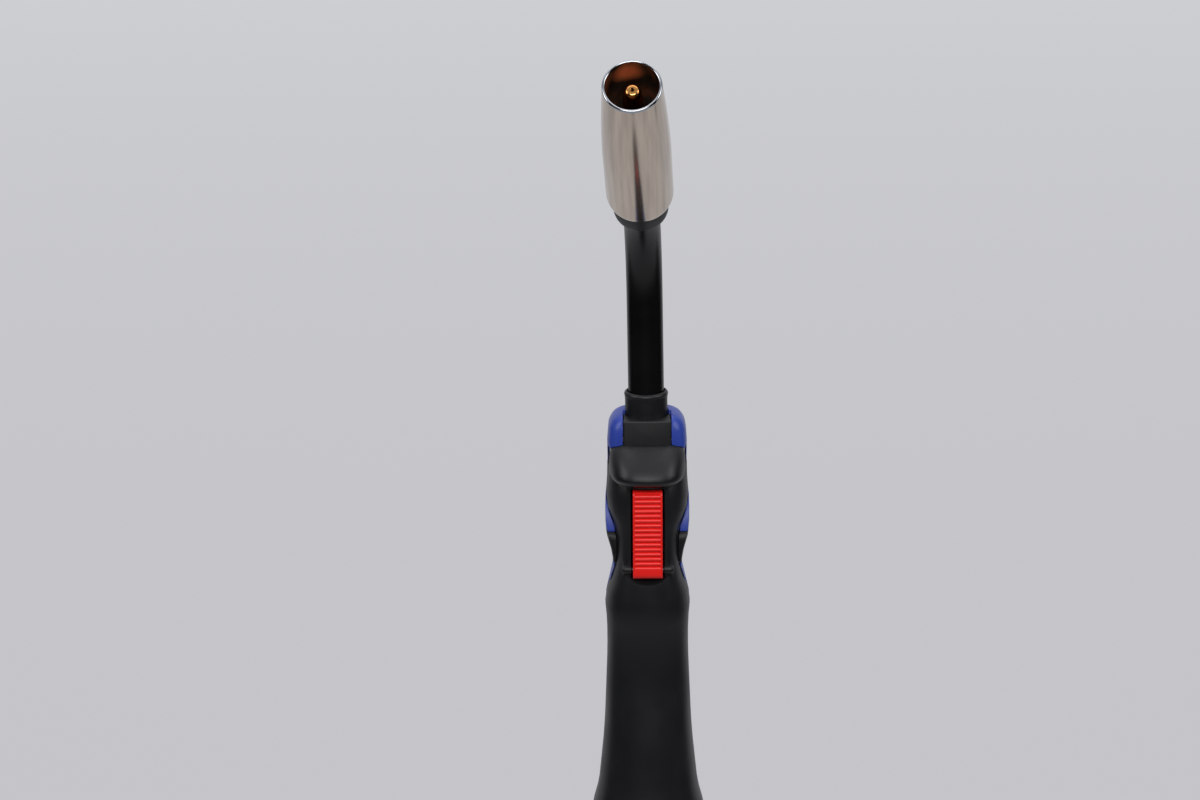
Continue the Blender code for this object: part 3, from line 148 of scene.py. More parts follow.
def metalMaterial(name, base, rough, grain, depth):
    material = newMaterial(name)
    place = add(material, "ShaderNodeTexCoord")
    cloud = add(material, "ShaderNodeTexNoise", {"Vector": place.outputs["Object"]},
                Scale=1 / metalCloud, Detail=4.0)
    gloss = add(material, "ShaderNodeMapRange", {"Value": cloud.outputs["Fac"]},
                From_Min=0.3, From_Max=0.7, To_Min=rough * 0.85, To_Max=rough * 1.2)
    fine = add(material, "ShaderNodeTexNoise", {"Vector": place.outputs["Object"]},
               Scale=1 / grain, Detail=2.0)
    bump = add(material, "ShaderNodeBump", {"Height": fine.outputs["Fac"]}, Distance=depth)
    shader = add(material, "ShaderNodeBsdfPrincipled",
                 {"Roughness": gloss.outputs["Result"], "Normal": bump.outputs["Normal"]},
                 Base_Color=colour(base), Metallic=1.0)
    return finishWith(material, shader)


# bare copper inside the nozzle: burnt nearly black by the arc and browner in clouds, with a bright red-orange
# painted glow of light on the upper wall behind the mouth, where the light falls in
boreLook = dict(soot="#22140D", brown="#8A4A28", cloud=11 * mm, red="#FF8452", redLevel=77 * mm,
                redAside=(-2 * mm, 7 * mm, 8 * mm), redFades=7 * mm, redFull=2.5 * mm,
                spatter=0.9 * mm, spatterHeight=0.02 * mm, rough=0.42, metallic=0.4)


def boreMaterial():
    look = boreLook
    material = newMaterial("burntCopperAndGlow")
    place = add(material, "ShaderNodeTexCoord")
    clouds = add(material, "ShaderNodeTexNoise", {"Vector": place.outputs["Object"]},
                 Scale=1 / look["cloud"], Detail=3.0, Roughness=0.5)
    share = add(material, "ShaderNodeMapRange", {"Value": clouds.outputs["Fac"]}, From_Min=0.45, From_Max=0.70)
    brown = add(material, "ShaderNodeMixRGB", {"Fac": share.outputs["Result"]},
                Color1=colour(look["soot"]), Color2=colour(look["brown"]))
    # painted glow: a bright red-orange patch round one point on the upper wall stands in for the light falling
    # into the mouth
    away = add(material, "ShaderNodeVectorMath", {0: place.outputs["Object"]}, operation="DISTANCE")
    away.inputs[1].default_value = headPlace() @ Vector((0, 0, look["redLevel"])) + Vector(look["redAside"])
    glowPatch = add(material, "ShaderNodeMapRange", {"Value": away.outputs["Value"]},
                From_Min=look["redFades"], From_Max=look["redFull"])
    tone = add(material, "ShaderNodeMixRGB", {"Fac": glowPatch.outputs["Result"], "Color1": brown.outputs["Color"]},
               Color2=colour(look["red"]))
    spatter = add(material, "ShaderNodeTexNoise", {"Vector": place.outputs["Object"]},
                  Scale=1 / look["spatter"], Detail=3.0)
    bump = add(material, "ShaderNodeBump", {"Height": spatter.outputs["Fac"]}, Distance=look["spatterHeight"])
    shader = add(material, "ShaderNodeBsdfPrincipled",
                 {"Base Color": tone.outputs["Color"], "Normal": bump.outputs["Normal"]},
                 Roughness=look["rough"], Metallic=look["metallic"])
    return finishWith(material, shader)


# satin nickel plate on a drawn copper tube: long faint streaks along the tube from drawing and polishing,
# each 20 times as long as it is wide
plateLook = dict(light="#C6B9A9", dark="#B1A497", streak=2.6 * mm, squeeze=0.05, polished=0.12, satin=0.22)


def platedMaterial():
    look = plateLook
    material = newMaterial("nickelPlate")
    place = add(material, "ShaderNodeTexCoord")
    back = headPlace().inverted()
    along = add(material, "ShaderNodeMapping", {"Vector": place.outputs["Object"]}, vector_type="POINT",
                Location=back.translation, Rotation=back.to_euler())
    stretch = add(material, "ShaderNodeVectorMath", {0: along.outputs["Vector"]}, operation="MULTIPLY")
    stretch.inputs[1].default_value = (1.0, 1.0, look["squeeze"])
    streaks = add(material, "ShaderNodeTexNoise", {"Vector": stretch.outputs["Vector"]},
                  Scale=1 / look["streak"], Detail=3.0, Roughness=0.55)
    share = add(material, "ShaderNodeMapRange", {"Value": streaks.outputs["Fac"]}, From_Min=0.35, From_Max=0.68)
    tone = add(material, "ShaderNodeMixRGB", {"Fac": share.outputs["Result"]},
               Color1=colour(look["light"]), Color2=colour(look["dark"]))
    gloss = add(material, "ShaderNodeMapRange", {"Value": streaks.outputs["Fac"]},
                To_Min=look["polished"], To_Max=look["satin"])
    shader = add(material, "ShaderNodeBsdfPrincipled",
                 {"Base Color": tone.outputs["Color"], "Roughness": gloss.outputs["Result"]}, Metallic=1.0)
    return finishWith(material, shader)


# fired steatite ceramic: matt cream with fine speckles
ceramicLook = dict(dark="#CFC8B8", light="#E2DCCB", speckle=1.2 * mm, rough=0.6)


def ceramicMaterial():
    look = ceramicLook
    material = newMaterial("diffuserCeramic")
    place = add(material, "ShaderNodeTexCoord")
    speckle = add(material, "ShaderNodeTexNoise", {"Vector": place.outputs["Object"]},
                  Scale=1 / look["speckle"], Detail=4.0)
    tone = add(material, "ShaderNodeMixRGB", {"Fac": speckle.outputs["Fac"]},
               Color1=colour(look["dark"]), Color2=colour(look["light"]))
    shader = add(material, "ShaderNodeBsdfPrincipled", {"Base Color": tone.outputs["Color"]},
                 Roughness=look["rough"])
    return finishWith(material, shader)


plastic = {name: plasticMaterial(name, **values) for name, values in plastics.items()}
metal = {name: metalMaterial(name, **values) for name, values in metals.items()}
metal["nickelPlate"] = platedMaterial()
metal["burntCopperAndGlow"] = boreMaterial()
ceramic = ceramicMaterial()

wears = {
    plastic["blackNylon"]: ("front_shell", "cable_socket", "nozzle_collar", "neck_root_sleeve",
                            "switch_carrier"),
    plastic["softGrip"]: ("rear_grip", "grip_pad_left", "grip_pad_right", "connector_seal_ring"),
    plastic["neckSleeve"]: ("neck_jacket",),
    plastic["blueNylon"]: ("rear_shell",),
    plastic["redNylon"]: ("trigger", "switch_plunger"),
    plastic["switchCase"]: ("switch_body",),
    metal["nickelPlate"]: ("gas_nozzle",),
    metal["copper"]: ("neck_tube", "contact_tip"),
    metal["brass"]: ("neck_clamp_block", "neck_nut", "power_connector", "tip_holder",
                     "switch_terminal_common", "switch_terminal_open"),
    metal["steel"]: ("side_screw_left", "side_screw_right", "wire_liner", "nozzle_retaining_ring",
                     "trigger_spring"),
    metal["blackenedSteel"]: ("trigger_pin",),
    ceramic: ("gas_diffuser",),
}
for material, names in wears.items():
    for name in names:
        nodes[name].data.materials.clear()
        nodes[name].data.materials.append(material)
print("finishes set on", sum(len(names) for names in wears.values()), "nodes")


def deselect():
    if bpy.context.object and bpy.context.object.mode != "OBJECT":
        bpy.ops.object.mode_set(mode="OBJECT")
    bpy.ops.object.select_all(action="DESELECT")


def pick(piece, test):
    # selects the faces, edges and points of an edited piece whose points all pass the test
    mesh = bmesh.from_edit_mesh(piece.data)
    mesh.select_mode = {"VERT"}
    for part in (mesh.faces, mesh.edges, mesh.verts):
        for item in part:
            item.select_set(False)
    for vert in mesh.verts:
        vert.select_set(bool(test(vert.co)))
    mesh.select_flush_mode()
    bmesh.update_edit_mesh(piece.data)


def settle(piece, name, materials, angle, place=None):
    # leaves edit mode, brings the piece to its place and shades it
    bpy.ops.object.mode_set(mode="OBJECT")
    if place:
        piece.matrix_world = place
        bpy.ops.object.transform_apply(location=True, rotation=True, scale=True)
    piece.name = piece.data.name = name
    piece.data.materials.clear()
    for material in materials:
        piece.data.materials.append(material)
    bpy.ops.object.shade_smooth_by_angle(angle=math.radians(angle))


def drawLine(points):
    # starts a mesh as one vertex and extrudes it from point to point
    deselect()
    bpy.ops.mesh.primitive_plane_add(size=mm, location=(0, 0, 0))
    piece = bpy.context.object
    bpy.ops.object.mode_set(mode="EDIT")
    bpy.ops.mesh.select_mode(type="VERT")
    bpy.ops.mesh.select_all(action="SELECT")
    bpy.ops.mesh.merge(type="CENTER")
    bpy.ops.transform.translate(value=points[0])
    for start, end in zip(points, points[1:]):
        bpy.ops.mesh.extrude_region_move(TRANSFORM_OT_translate={"value": Vector(end) - Vector(start)})
    return piece


def spinSection(section, steps):
    # draws half a section in the XZ plane and spins it round Z into a closed solid
    piece = drawLine([(radius, 0, along) for along, radius in section])
    bpy.ops.mesh.select_all(action="SELECT")
    bpy.ops.mesh.spin(steps=steps, angle=2 * math.pi, center=(0, 0, 0), axis=(0, 0, 1))
    bpy.ops.mesh.select_all(action="SELECT")
    bpy.ops.mesh.remove_doubles(threshold=0.002 * mm)
    bpy.ops.mesh.normals_make_consistent(inside=False)
    return piece


def softenEdges(piece, width, sharper):
    # rounds each edge that is sharper than the angle in degrees
    soften = piece.modifiers.new("edges", "BEVEL")
    soften.width = width
    soften.segments = 3
    soften.limit_method = "ANGLE"
    soften.angle_limit = math.radians(sharper)
    bpy.ops.object.modifier_apply(modifier=soften.name)


def cutAway(piece, cutter):
    # takes the cutter's form out of the piece
    cut = piece.modifiers.new("cut", "BOOLEAN")
    cut.object = cutter
    cut.solver = "EXACT"
    deselect()
    piece.select_set(True)
    bpy.context.view_layer.objects.active = piece
    bpy.ops.object.modifier_apply(modifier=cut.name)
    bpy.data.meshes.remove(cutter.data)


def roundCorner(centre, radius, start, end, count):
    # points of a rounded corner in a section, angles from the axis outwards
    steps = [math.radians(start + (end - start) * i / count) for i in range(count + 1)]
    return [(centre[0] + radius * math.sin(a), centre[1] + radius * math.cos(a)) for a in steps]


# gas nozzle: a drawn tube, parallel at the back and narrowed to a rolled mouth, plated outside only
nozzleForm = dict(length=84 * mm, radius=13.3 * mm, shoulder=4.3 * mm, mouth=11.35 * mm, wall=1.2 * mm,
                  backWall=1.1 * mm, seat=10.55 * mm, seatLength=25 * mm, relief=0.7 * mm, taperFrom=0.42)


def makeGasNozzle():
    form = nozzleForm
    length, radius, mouth, wall, seat = (form[key] for key in ("length", "radius", "mouth", "wall", "seat"))
    rear, throat = seat + form["backWall"], seat + form["relief"]
    section = [(0.0, rear - 0.4 * mm), (0.12 * mm, rear - 0.14 * mm), (0.3 * mm, rear)]
    for i in range(1, 9):
        t = i / 8
        section.append((0.3 * mm + form["shoulder"] * t ** 1.35,
                        rear + (radius - rear) * math.sin(t * math.pi / 2)))
    section += [(7 * mm, radius), (12 * mm, radius), (22 * mm, radius)]
    start = form["taperFrom"] * length
    for i in range(25):
        t = i / 24
        section.append((start + (length - wall - start) * t, radius - (radius - mouth) * t ** 1.7))
    section += roundCorner((length - wall / 2, mouth - wall / 2), wall / 2, 8, 172, 12)
    section += [(length - wall, mouth - wall), (length - 12 * mm, mouth - wall + 0.3 * mm),
                (length - 26 * mm, throat), (form["seatLength"] + 2 * mm, throat),
                (form["seatLength"], seat), (0.15 * mm, seat), (0.0, seat + 0.15 * mm),
                (0.0, rear - 0.4 * mm)]
    piece = spinSection(section, 128)
    finishes = metal["nickelPlate"], metal["burntCopperAndGlow"], metal["polishedNickel"]
    settle(piece, "gasNozzle", finishes, 40, headPlace())
    back = headPlace().inverted()
    for face in piece.data.polygons:        # the inside is bare, the rolled rim is bright
        spot = back @ face.center
        reach = math.hypot(spot.x, spot.y)
        onShoulder = spot.z < 0.5 * mm or (spot.z < 5 * mm and reach > seat + 0.3 * mm)
        if spot.z > length - wall:
            face.material_index = 2 if reach > mouth - wall * 0.97 else 1
        elif reach < mouth - 0.05 * mm and not onShoulder:
            face.material_index = 1
    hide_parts("gas_nozzle")
    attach(piece, "nozzle")


# contact tip: turned copper, its end rounded over round the wire's hole
tipForm = dict(back=51 * mm, body=58 * mm, end=81 * mm, radius=3.9 * mm, endRadius=1.3 * mm,
               thread=3.0 * mm, bore=0.6 * mm, nose=3.4 * mm)


def makeContactTip():
    form = tipForm
    back, body, end, radius, face = (form[key] for key in ("back", "body", "end", "radius", "endRadius"))
    section = [(back, form["bore"]), (back, form["thread"] - 0.4 * mm), (back + 0.4 * mm, form["thread"]),
               (body, form["thread"]), (body, radius - 0.2 * mm), (body + 0.2 * mm, radius),
               (end - form["nose"] - 3 * mm, radius), (end - form["nose"] - 2.4 * mm, radius - 0.15 * mm)]
    for i in range(13):     # the nose rounds over to the wire's hole
        a = math.pi / 2 * i / 12
        section.append((end - form["nose"] * (1 - math.sin(a)),
                        face + (radius - 0.45 * mm - face) * math.cos(a) ** 0.8))
    section += [(end, form["bore"] + 0.25 * mm), (end - 0.25 * mm, form["bore"]), (back, form["bore"])]
    piece = spinSection(section, 64)
    settle(piece, "contactTip", (metal["tipCopper"],), 40, headPlace())
    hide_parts("contact_tip")
    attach(piece, "handle")


# collar behind the nozzle: moulded, its back rolled over to the neck
collarForm = dict(radius=11.0 * mm, visible=11.0 * mm, shoulder=3.2 * mm, seat=10.25 * mm, seatEnd=22 * mm,
                  neckBore=7.65 * mm, tubeBore=6.15 * mm, lap=3.5 * mm, groove=14.0 * mm, grooveWidth=1.6 * mm,
                  grooveDepth=1.2 * mm)


def makeNozzleCollar():
    form = collarForm
    radius, seat, back = form["radius"], form["seat"], -form["visible"]
    groove, wide, sunk = form["groove"], form["grooveWidth"], form["grooveDepth"]   # for the spring ring
    root = form["neckBore"] + 0.6 * mm
    section = [(back, form["neckBore"]), (back, root)]
    for i in range(1, 15):      # the rolled back
        a = math.pi / 2 * i / 14
        section.append((back + form["shoulder"] * (1 - math.cos(a)), root + (radius - root) * math.sin(a)))
    section += [(-0.9 * mm, radius), (-0.5 * mm, radius - 0.1 * mm), (-0.3 * mm, radius - 0.35 * mm),
                (-0.3 * mm, seat), (groove - 0.1 * mm, seat), (groove, seat - sunk),
                (groove + wide, seat - sunk), (groove + wide + 0.1 * mm, seat),
                (form["seatEnd"] - mm, seat), (form["seatEnd"], seat - mm),
                (form["seatEnd"], form["tubeBore"]), (back + form["lap"] + 0.3 * mm, form["tubeBore"]),
                (back + form["lap"] + 0.3 * mm, form["neckBore"]), (back, form["neckBore"])]
    piece = spinSection(section, 96)
    settle(piece, "nozzleCollar", (plastic["blackNylon"],), 40, headPlace())
    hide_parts("nozzle_collar")
    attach(piece, "handle")


# neck: one smooth sleeve over the bent tube
sleeveForm = dict(low=0.188, radius=7.35 * mm, wall=1.2 * mm, lap=10.2 * mm, points=72, bendSteps=48)


def makeSwanNeck():
    form, bend = sleeveForm, math.radians(neckLine["bend"])
    bendLevel = neckLine["rimLevel"] + neckLine["straight"]
    deselect()
    bpy.ops.mesh.primitive_circle_add(vertices=form["points"], radius=form["radius"],
                                      location=(0, 0, form["low"]))
    piece = bpy.context.object
    bpy.ops.object.transform_apply(location=True, rotation=False, scale=False)
    bpy.ops.object.mode_set(mode="EDIT")
    bpy.ops.mesh.primitive_circle_add(vertices=form["points"], radius=form["radius"] - form["wall"],
                                      location=(0, 0, form["low"]))
    bpy.ops.mesh.select_all(action="SELECT")
    bpy.ops.mesh.extrude_region_move(TRANSFORM_OT_translate={"value": (0, 0, bendLevel - form["low"])})
    bpy.ops.mesh.spin(steps=form["bendSteps"], angle=-bend, center=(0, -neckLine["bendRadius"], bendLevel),
                      axis=(1, 0, 0))
    bpy.ops.mesh.extrude_region_move(TRANSFORM_OT_translate={
        "value": (0, -form["lap"] * math.sin(bend), form["lap"] * math.cos(bend))})
    bpy.ops.mesh.bridge_edge_loops()
    pick(piece, lambda p: abs(p.z - form["low"]) < 0.01 * mm)
    bpy.ops.mesh.bridge_edge_loops()
    bpy.ops.mesh.select_all(action="SELECT")
    bpy.ops.mesh.remove_doubles(threshold=0.002 * mm)
    bpy.ops.mesh.normals_make_consistent(inside=False)
    settle(piece, "swanNeck", (plastic["neckSleeve"],), 40, neckTurn)
    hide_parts("neck_jacket")
    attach(piece, "handle")


# root sleeve: the moulded ring round the neck's foot, its rolled bead standing a little proud
rootForm = dict(low=-17.8 * mm, radius=8.7 * mm, bore=7.65 * mm, bead=1.35 * mm, proud=0.3 * mm)


def makeRootSleeve():
    form = rootForm
    radius, bore, bead = form["radius"], form["bore"], form["bead"]
    section = [(form["low"], bore), (form["low"], radius), (-3.9 * mm, radius), (-3.2 * mm, radius + 0.02 * mm),
               (-2.6 * mm, radius + 0.12 * mm)]
    section += roundCorner((-bead, radius + form["proud"] - bead), bead, -35, 80, 12)
    section += [(0.0, bore + 0.3 * mm), (-0.3 * mm, bore + 0.1 * mm), (-1.2 * mm, bore), (form["low"], bore)]
    piece = spinSection(section, 96)
    settle(piece, "rootSleeve", (plastic["blackNylon"],), 40,
           neckTurn @ Matrix.Translation((0, 0, neckLine["rimLevel"])))
    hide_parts("neck_root_sleeve")
    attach(piece, "handle")


# trigger: a moulded cap with a ribbed face, hollow at the back
triggerForm = dict(width=12.1 * mm, face=22.5 * mm, depth=6.6 * mm, low=0.1312, length=37.5 * mm,
                   ribs=16, pitch=2.06 * mm, grooveDepth=0.95 * mm, bead=0.92 * mm, rail=0.75 * mm,
                   edge=0.42 * mm, lowRound=2.4 * mm, topRound=1.4 * mm,
                   firstBelowTop=0.84 * mm, wall=1.7 * mm, faceWall=1.9 * mm, rooted=0.4 * mm,
                   post=3 * mm, postLevel=0.158, postFace=17.05 * mm, lug=(9.2 * mm, 1.2 * mm, 4.4 * mm))


def makeGrooveCutter():
    # one cutter for all the grooves: its inner side follows the ribs, each rounded like a bead
    form = triggerForm
    half, face, pitch = form["width"] / 2 - form["rail"], -form["face"], form["pitch"]
    first = form["low"] + form["length"] - form["firstBelowTop"]
    line = [(-half, face - mm, first + pitch / 2)]
    for k in range(form["ribs"]):
        for step in range(17):      # down over the lower half of one bead, up over the upper half of the next
            a = math.pi * step / 16
            side = 1 if step <= 8 else -1
            line.append((-half, face + form["grooveDepth"] * (1 - abs(math.cos(a))),
                         first - k * pitch + side * (pitch / 2 - form["bead"] * math.sin(a))))
    line.append((-half, face - mm, first - (form["ribs"] - 0.5) * pitch))
    cutter = drawLine(line + line[:1])
    bpy.ops.mesh.select_all(action="SELECT")
    bpy.ops.mesh.remove_doubles(threshold=0.002 * mm)
    bpy.ops.mesh.select_all(action="SELECT")
    bpy.ops.mesh.edge_face_add()
    bpy.ops.mesh.extrude_region_move(TRANSFORM_OT_translate={"value": (2 * half, 0, 0)})
    bpy.ops.mesh.select_all(action="SELECT")
    bpy.ops.mesh.normals_make_consistent(inside=False)
    bpy.ops.object.mode_set(mode="OBJECT")
    return cutter


def makeTrigger():
    form = triggerForm
    face, edge = -form["face"], -form["face"] + form["depth"]
    low, top = form["low"], form["low"] + form["length"]
    deselect()
    bpy.ops.mesh.primitive_cube_add(size=1.0, location=(0, (face + edge) / 2, (low + top) / 2),
                                    scale=(form["width"], form["depth"], form["length"]))
    piece = bpy.context.object
    bpy.ops.object.transform_apply(location=True, rotation=True, scale=True)
    bpy.ops.object.mode_set(mode="EDIT")
    for level, size, segments in ((low, form["lowRound"], 10), (top, form["topRound"], 8)):
        pick(piece, lambda p: abs(p.z - level) < 0.01 * mm and abs(p.y - face) < 0.01 * mm)
        bpy.ops.mesh.bevel(offset=size, segments=segments, affect="EDGES")
    bpy.ops.mesh.select_mode(type="VERT")
    pick(piece, lambda p: abs(p.y - edge) < 0.01 * mm)
    bpy.ops.mesh.inset(thickness=form["wall"])
    bpy.ops.mesh.extrude_region_move(TRANSFORM_OT_translate={
        "value": (0, -(form["depth"] - form["faceWall"]), 0)})
    bpy.ops.mesh.select_all(action="SELECT")
    bpy.ops.mesh.normals_make_consistent(inside=False)
    bpy.ops.object.mode_set(mode="OBJECT")
    softenEdges(piece, form["edge"], 50)
    cutAway(piece, makeGrooveCutter())
    bpy.ops.object.mode_set(mode="EDIT")
    inner, rooted = face + form["faceWall"], form["rooted"]
    bpy.ops.mesh.primitive_cube_add(size=1.0, location=(0, (inner - form["postFace"] - rooted) / 2,
                                                        form["postLevel"]),
                                    scale=(form["post"], rooted - inner - form["postFace"], form["post"]))
    bpy.ops.mesh.primitive_cube_add(size=1.0, location=(0, edge - form["lug"][1] / 2, top + rooted),
                                    scale=form["lug"])
    settle(piece, "ribbedTrigger", (plastic["redNylon"],), 40)
    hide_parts("trigger")
    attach(piece, "trigger")


# side screws: the heads lie in counterbores in the shell's sides
screwForm = dict(level=0.1797, forward=5.2 * mm, tip=6.9 * mm, top=15.3 * mm, headHeight=2.4 * mm,
                 radius=3.6 * mm, rim=0.45 * mm, shank=2.0 * mm, point=0.3 * mm, hexagon=1.9 * mm,
                 sunk=1.5 * mm)


def makeSideScrew(side, name, node):
    # socket-head screw, its rim broken and a hexagon sunk in its head
    form = screwForm
    deselect()
    length = form["top"] - form["tip"]
    bpy.ops.mesh.primitive_cylinder_add(vertices=48, radius=form["radius"], depth=form["headHeight"],
                                        location=(0, 0, form["top"] - form["headHeight"] / 2))
    piece = bpy.context.object
    bpy.ops.object.transform_apply(location=True, rotation=True, scale=True)
    bpy.ops.object.mode_set(mode="EDIT")
    pick(piece, lambda p: p.z > form["top"] - 0.01 * mm)
    bpy.ops.mesh.bevel(offset=form["rim"], segments=4, affect="EDGES")
    pick(piece, lambda p: p.z < form["top"] - form["headHeight"] + 0.01 * mm)
    bpy.ops.mesh.inset(thickness=form["radius"] - form["shank"])
    bpy.ops.mesh.extrude_region_move(TRANSFORM_OT_translate={"value": (0, 0, form["headHeight"] - length)})
    bpy.ops.mesh.bevel(offset=form["point"], segments=2, affect="EDGES")
    bpy.ops.mesh.select_all(action="SELECT")
    bpy.ops.mesh.normals_make_consistent(inside=False)
    bpy.ops.object.mode_set(mode="OBJECT")
    deselect()
    bpy.ops.mesh.primitive_cylinder_add(vertices=6, radius=form["hexagon"], depth=2 * form["sunk"],
                                        location=(0, 0, form["top"]))
    cutAway(piece, bpy.context.object)
    turned = Matrix.Rotation(side * math.pi / 2, 4, "Y")
    settle(piece, name, (metal["steel"],), 30,
           Matrix.Translation((0, -form["forward"], form["level"])) @ turned)
    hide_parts(node)
    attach(piece, "handle")


# moulded shells and grips: the solids' own forms, merged, with their edges broken and their curves smooth
mouldings = {
    "front_shell": dict(name="frontShell", finish="blackNylon", slotName="black_nylon", edge=0.3 * mm),
    "rear_shell": dict(name="rearShell", finish="blueNylon", slotName="blue_nylon", edge=0.3 * mm),
    "grip_pad_left": dict(name="gripPadLeft", finish="softGrip", slotName="soft_rubber", edge=0.2 * mm),
    "grip_pad_right": dict(name="gripPadRight", finish="softGrip", slotName="soft_rubber", edge=0.2 * mm),
    "rear_grip": dict(name="rearGrip", finish="softGrip", slotName="soft_rubber", edge=0.3 * mm),
    "cable_socket": dict(name="cableSocket", finish="blackNylon", slotName="black_nylon", edge=0.2 * mm),
}


def makeMoulding(node, name, finish, slotName, edge):
    deselect()
    nodes[node].select_set(True)
    bpy.context.view_layer.objects.active = nodes[node]
    bpy.ops.object.duplicate()
    piece = bpy.context.object
    bpy.ops.object.mode_set(mode="EDIT")
    bpy.ops.mesh.select_all(action="SELECT")
    bpy.ops.mesh.remove_doubles(threshold=0.004 * mm)
    bpy.ops.mesh.dissolve_limited(angle_limit=math.radians(0.6))
    bpy.ops.object.mode_set(mode="OBJECT")
    softenEdges(piece, edge, 40)
    settle(piece, name, (plastic[finish],), 40)
    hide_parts(node)
    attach(piece, "handle")


for node, values in mouldings.items():
    makeMoulding(node, **values)
makeGasNozzle()
makeContactTip()
makeNozzleCollar()
makeSwanNeck()
makeRootSleeve()
makeTrigger()
makeSideScrew(-1, "screwLeft", "side_screw_left")
makeSideScrew(1, "screwRight", "side_screw_right")
print("mouldings, nozzle, tip, collar, neck, sleeve, trigger and screws made")


# stage: a pale sweep far below, a soft roof light, a front light and two side panels
stage = dict(floorLevel=-0.60, size=60.0, near="#CCCCD1", far="#DADBDF", nearY=1.4, farY=6.0, glow=0.85,
             bounce="#58585C", roomStrength=0.28, skyStrength=0.86)
camera = dict(lens=100, distance=1.366, elevation=16.3, turn=0.35, roll=-0.45, aimHeight=0.206,
              aimRight=-0.0192, aimUp=-0.0041)
lights = {
    "roof": dict(place=(0.0, 0.35, 1.7), aim=(0, 0, 0.25), size=(1.6, 1.2), power=9.5),
    "frontSoft": dict(place=(0.0, -1.75, 1.2), aim=(0, 0, 0.2), size=(1.4, 0.8), power=26),
    "leftPanel": dict(place=(-1.2, -0.4, 0.9), aim=(0, 0, 0.25), size=(0.5, 0.9), power=7.5),
    "rightPanel": dict(place=(1.2, -0.4, 0.9), aim=(0, 0, 0.25), size=(0.5, 0.9), power=7.5),
}


def seenRays(owner):
    # 1 for what the camera, clear reflections and glass meet, 0 for the light that falls on the object
    path = add(owner, "ShaderNodeLightPath")
    seen = add(owner, "ShaderNodeMath", {0: path.outputs["Is Camera Ray"], 1: path.outputs["Is Glossy Ray"]},
               operation="MAXIMUM")
    return add(owner, "ShaderNodeMath", {0: seen.outputs[0], 1: path.outputs["Is Transmission Ray"]},
               operation="MAXIMUM")


def sweepMaterial():
    # matt paper, a little lighter far back
    material = newMaterial("paleSweep")
    seen = seenRays(material)
    share = add(material, "ShaderNodeMath", {0: seen.outputs[0]}, operation="MULTIPLY")
    share.inputs[1].default_value = stage["glow"]
    place = add(material, "ShaderNodeTexCoord")
    axes = add(material, "ShaderNodeSeparateXYZ", {"Vector": place.outputs["Object"]})
    far = add(material, "ShaderNodeMapRange", {"Value": axes.outputs["Y"]},
              From_Min=stage["nearY"], From_Max=stage["farY"])
    tone = add(material, "ShaderNodeMixRGB", {"Fac": far.outputs["Result"]},
               Color1=colour(stage["near"]), Color2=colour(stage["far"]))
    plain = add(material, "ShaderNodeEmission", {"Color": tone.outputs["Color"]}, Strength=1.0)
    # little light comes up from below, so grooves and undersides stay dark
    bounce = add(material, "ShaderNodeMixRGB", {"Fac": seen.outputs[0], "Color2": tone.outputs["Color"]},
                 Color1=colour(stage["bounce"]))
    paper = add(material, "ShaderNodeBsdfDiffuse", {"Color": bounce.outputs["Color"]})
    mix = add(material, "ShaderNodeMixShader", {0: share.outputs[0], 1: paper.outputs[0], 2: plain.outputs[0]})
    return finishWith(material, mix)


def makeStage():
    deselect()
    bpy.ops.mesh.primitive_plane_add(size=stage["size"], location=(0, 0, stage["floorLevel"]))
    floor = bpy.context.object
    floor.name = "floor"
    floor.data.materials.append(sweepMaterial())
    world = bpy.data.worlds.new("studio")
    bpy.context.scene.world = world
    world.use_nodes = True
    world.node_tree.nodes.clear()
    room = add(world, "ShaderNodeBackground", Color=colour(stage["near"]), Strength=stage["roomStrength"])
    sky = add(world, "ShaderNodeBackground", Color=colour(stage["far"]), Strength=stage["skyStrength"])
    seen = seenRays(world)
    mix = add(world, "ShaderNodeMixShader", {0: seen.outputs[0], 1: room.outputs[0], 2: sky.outputs[0]})
    add(world, "ShaderNodeOutputWorld", {"Surface": mix.outputs[0]})


# dark felt cards round the front half of the room, seen only in reflections: they keep the blacks deep
# and give bright metal its dark edges
cards = {
    "lowCards": dict(radius=1.25, low=-0.6, high=0.34, halfAngle=127, panels=36),
    "highCards": dict(radius=2.3, low=0.2, high=1.9, halfAngle=127, panels=36),
}


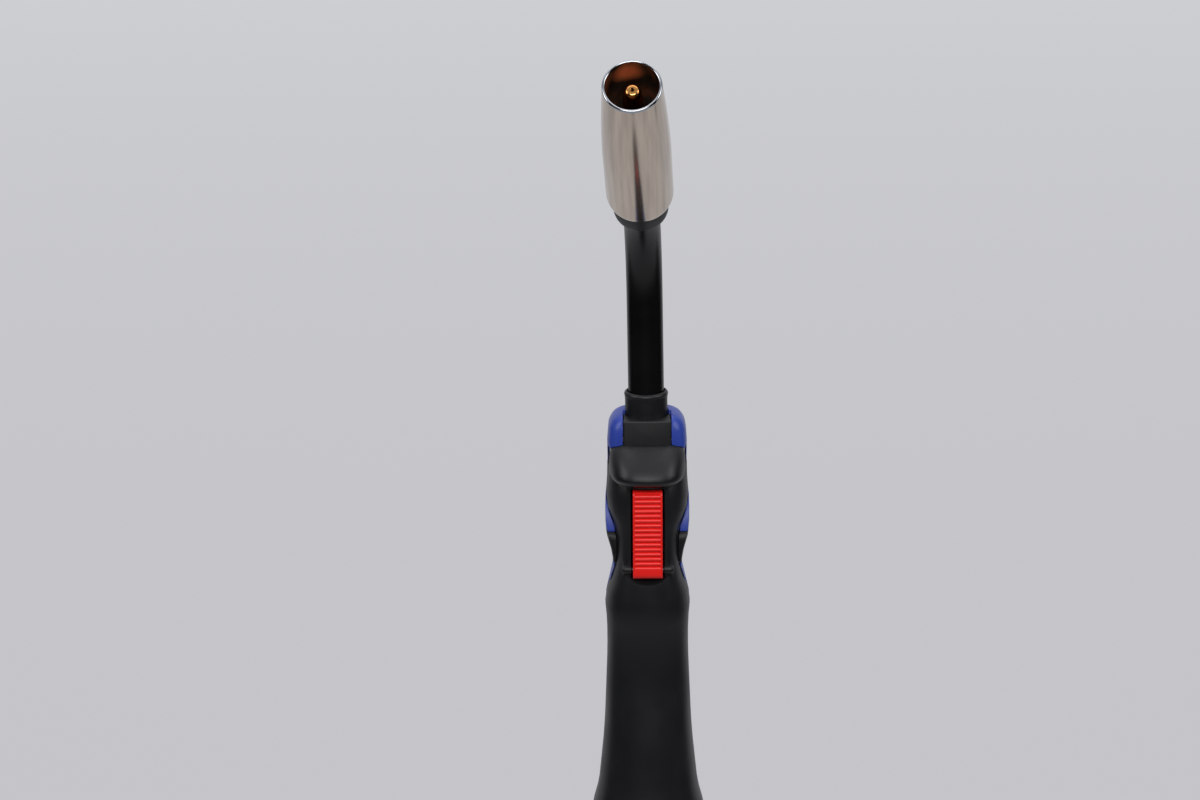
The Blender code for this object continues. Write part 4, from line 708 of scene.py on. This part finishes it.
def feltMaterial():
    # dull black wool felt: gives almost nothing back
    material = newMaterial("blackFelt")
    return finishWith(material, add(material, "ShaderNodeBsdfDiffuse", Color=colour("#101012")))


def makeCards(name, radius, low, high, halfAngle, panels):
    half = math.radians(halfAngle)
    side = (-radius * math.sin(half), -radius * math.cos(half))
    card = drawLine([(*side, low), (*side, high)])
    bpy.ops.mesh.select_all(action="SELECT")
    bpy.ops.mesh.spin(steps=panels, angle=-2 * half, center=(0, 0, 0), axis=(0, 0, 1))
    bpy.ops.object.mode_set(mode="OBJECT")
    card.name = name
    card.data.materials.append(blackFelt)
    card.visible_camera = card.visible_diffuse = card.visible_shadow = False
    card.visible_transmission = card.visible_volume_scatter = False


def makeLight(name, place, aim, size, power):
    data = bpy.data.lights.new(name, "AREA")
    data.shape = "RECTANGLE"
    data.size, data.size_y = size
    data.energy = power
    lamp = bpy.data.objects.new(name, data)
    lamp.location = place
    lamp.rotation_euler = (Vector(aim) - Vector(place)).to_track_quat("-Z", "Y").to_euler()
    bpy.context.scene.collection.objects.link(lamp)


def makeCamera():
    tilt = math.radians(camera["elevation"])
    aside = Matrix.Rotation(math.radians(camera["turn"]), 3, "Z")
    back = aside @ Vector((0, -math.cos(tilt), math.sin(tilt)))
    up = aside @ Vector((0, math.sin(tilt), math.cos(tilt)))
    data = bpy.data.cameras.new("camera")
    data.lens = camera["lens"]
    data.clip_start = 0.05
    holder = bpy.data.objects.new("camera", data)
    holder.location = (Vector((camera["aimRight"], 0, camera["aimHeight"]))
                       + back * camera["distance"] + up * camera["aimUp"])
    rolled = Matrix.Rotation(math.radians(camera["roll"]), 3, "Z")
    holder.rotation_euler = ((-back).to_track_quat("-Z", "Y").to_matrix() @ rolled).to_euler()
    bpy.context.scene.collection.objects.link(holder)
    bpy.context.scene.camera = holder


makeStage()
blackFelt = feltMaterial()
for name, values in cards.items():
    makeCards(name, **values)
for name, values in lights.items():
    makeLight(name, **values)
makeCamera()
bpy.context.scene.view_settings.view_transform = "Standard"
print("stage, lights and camera made")
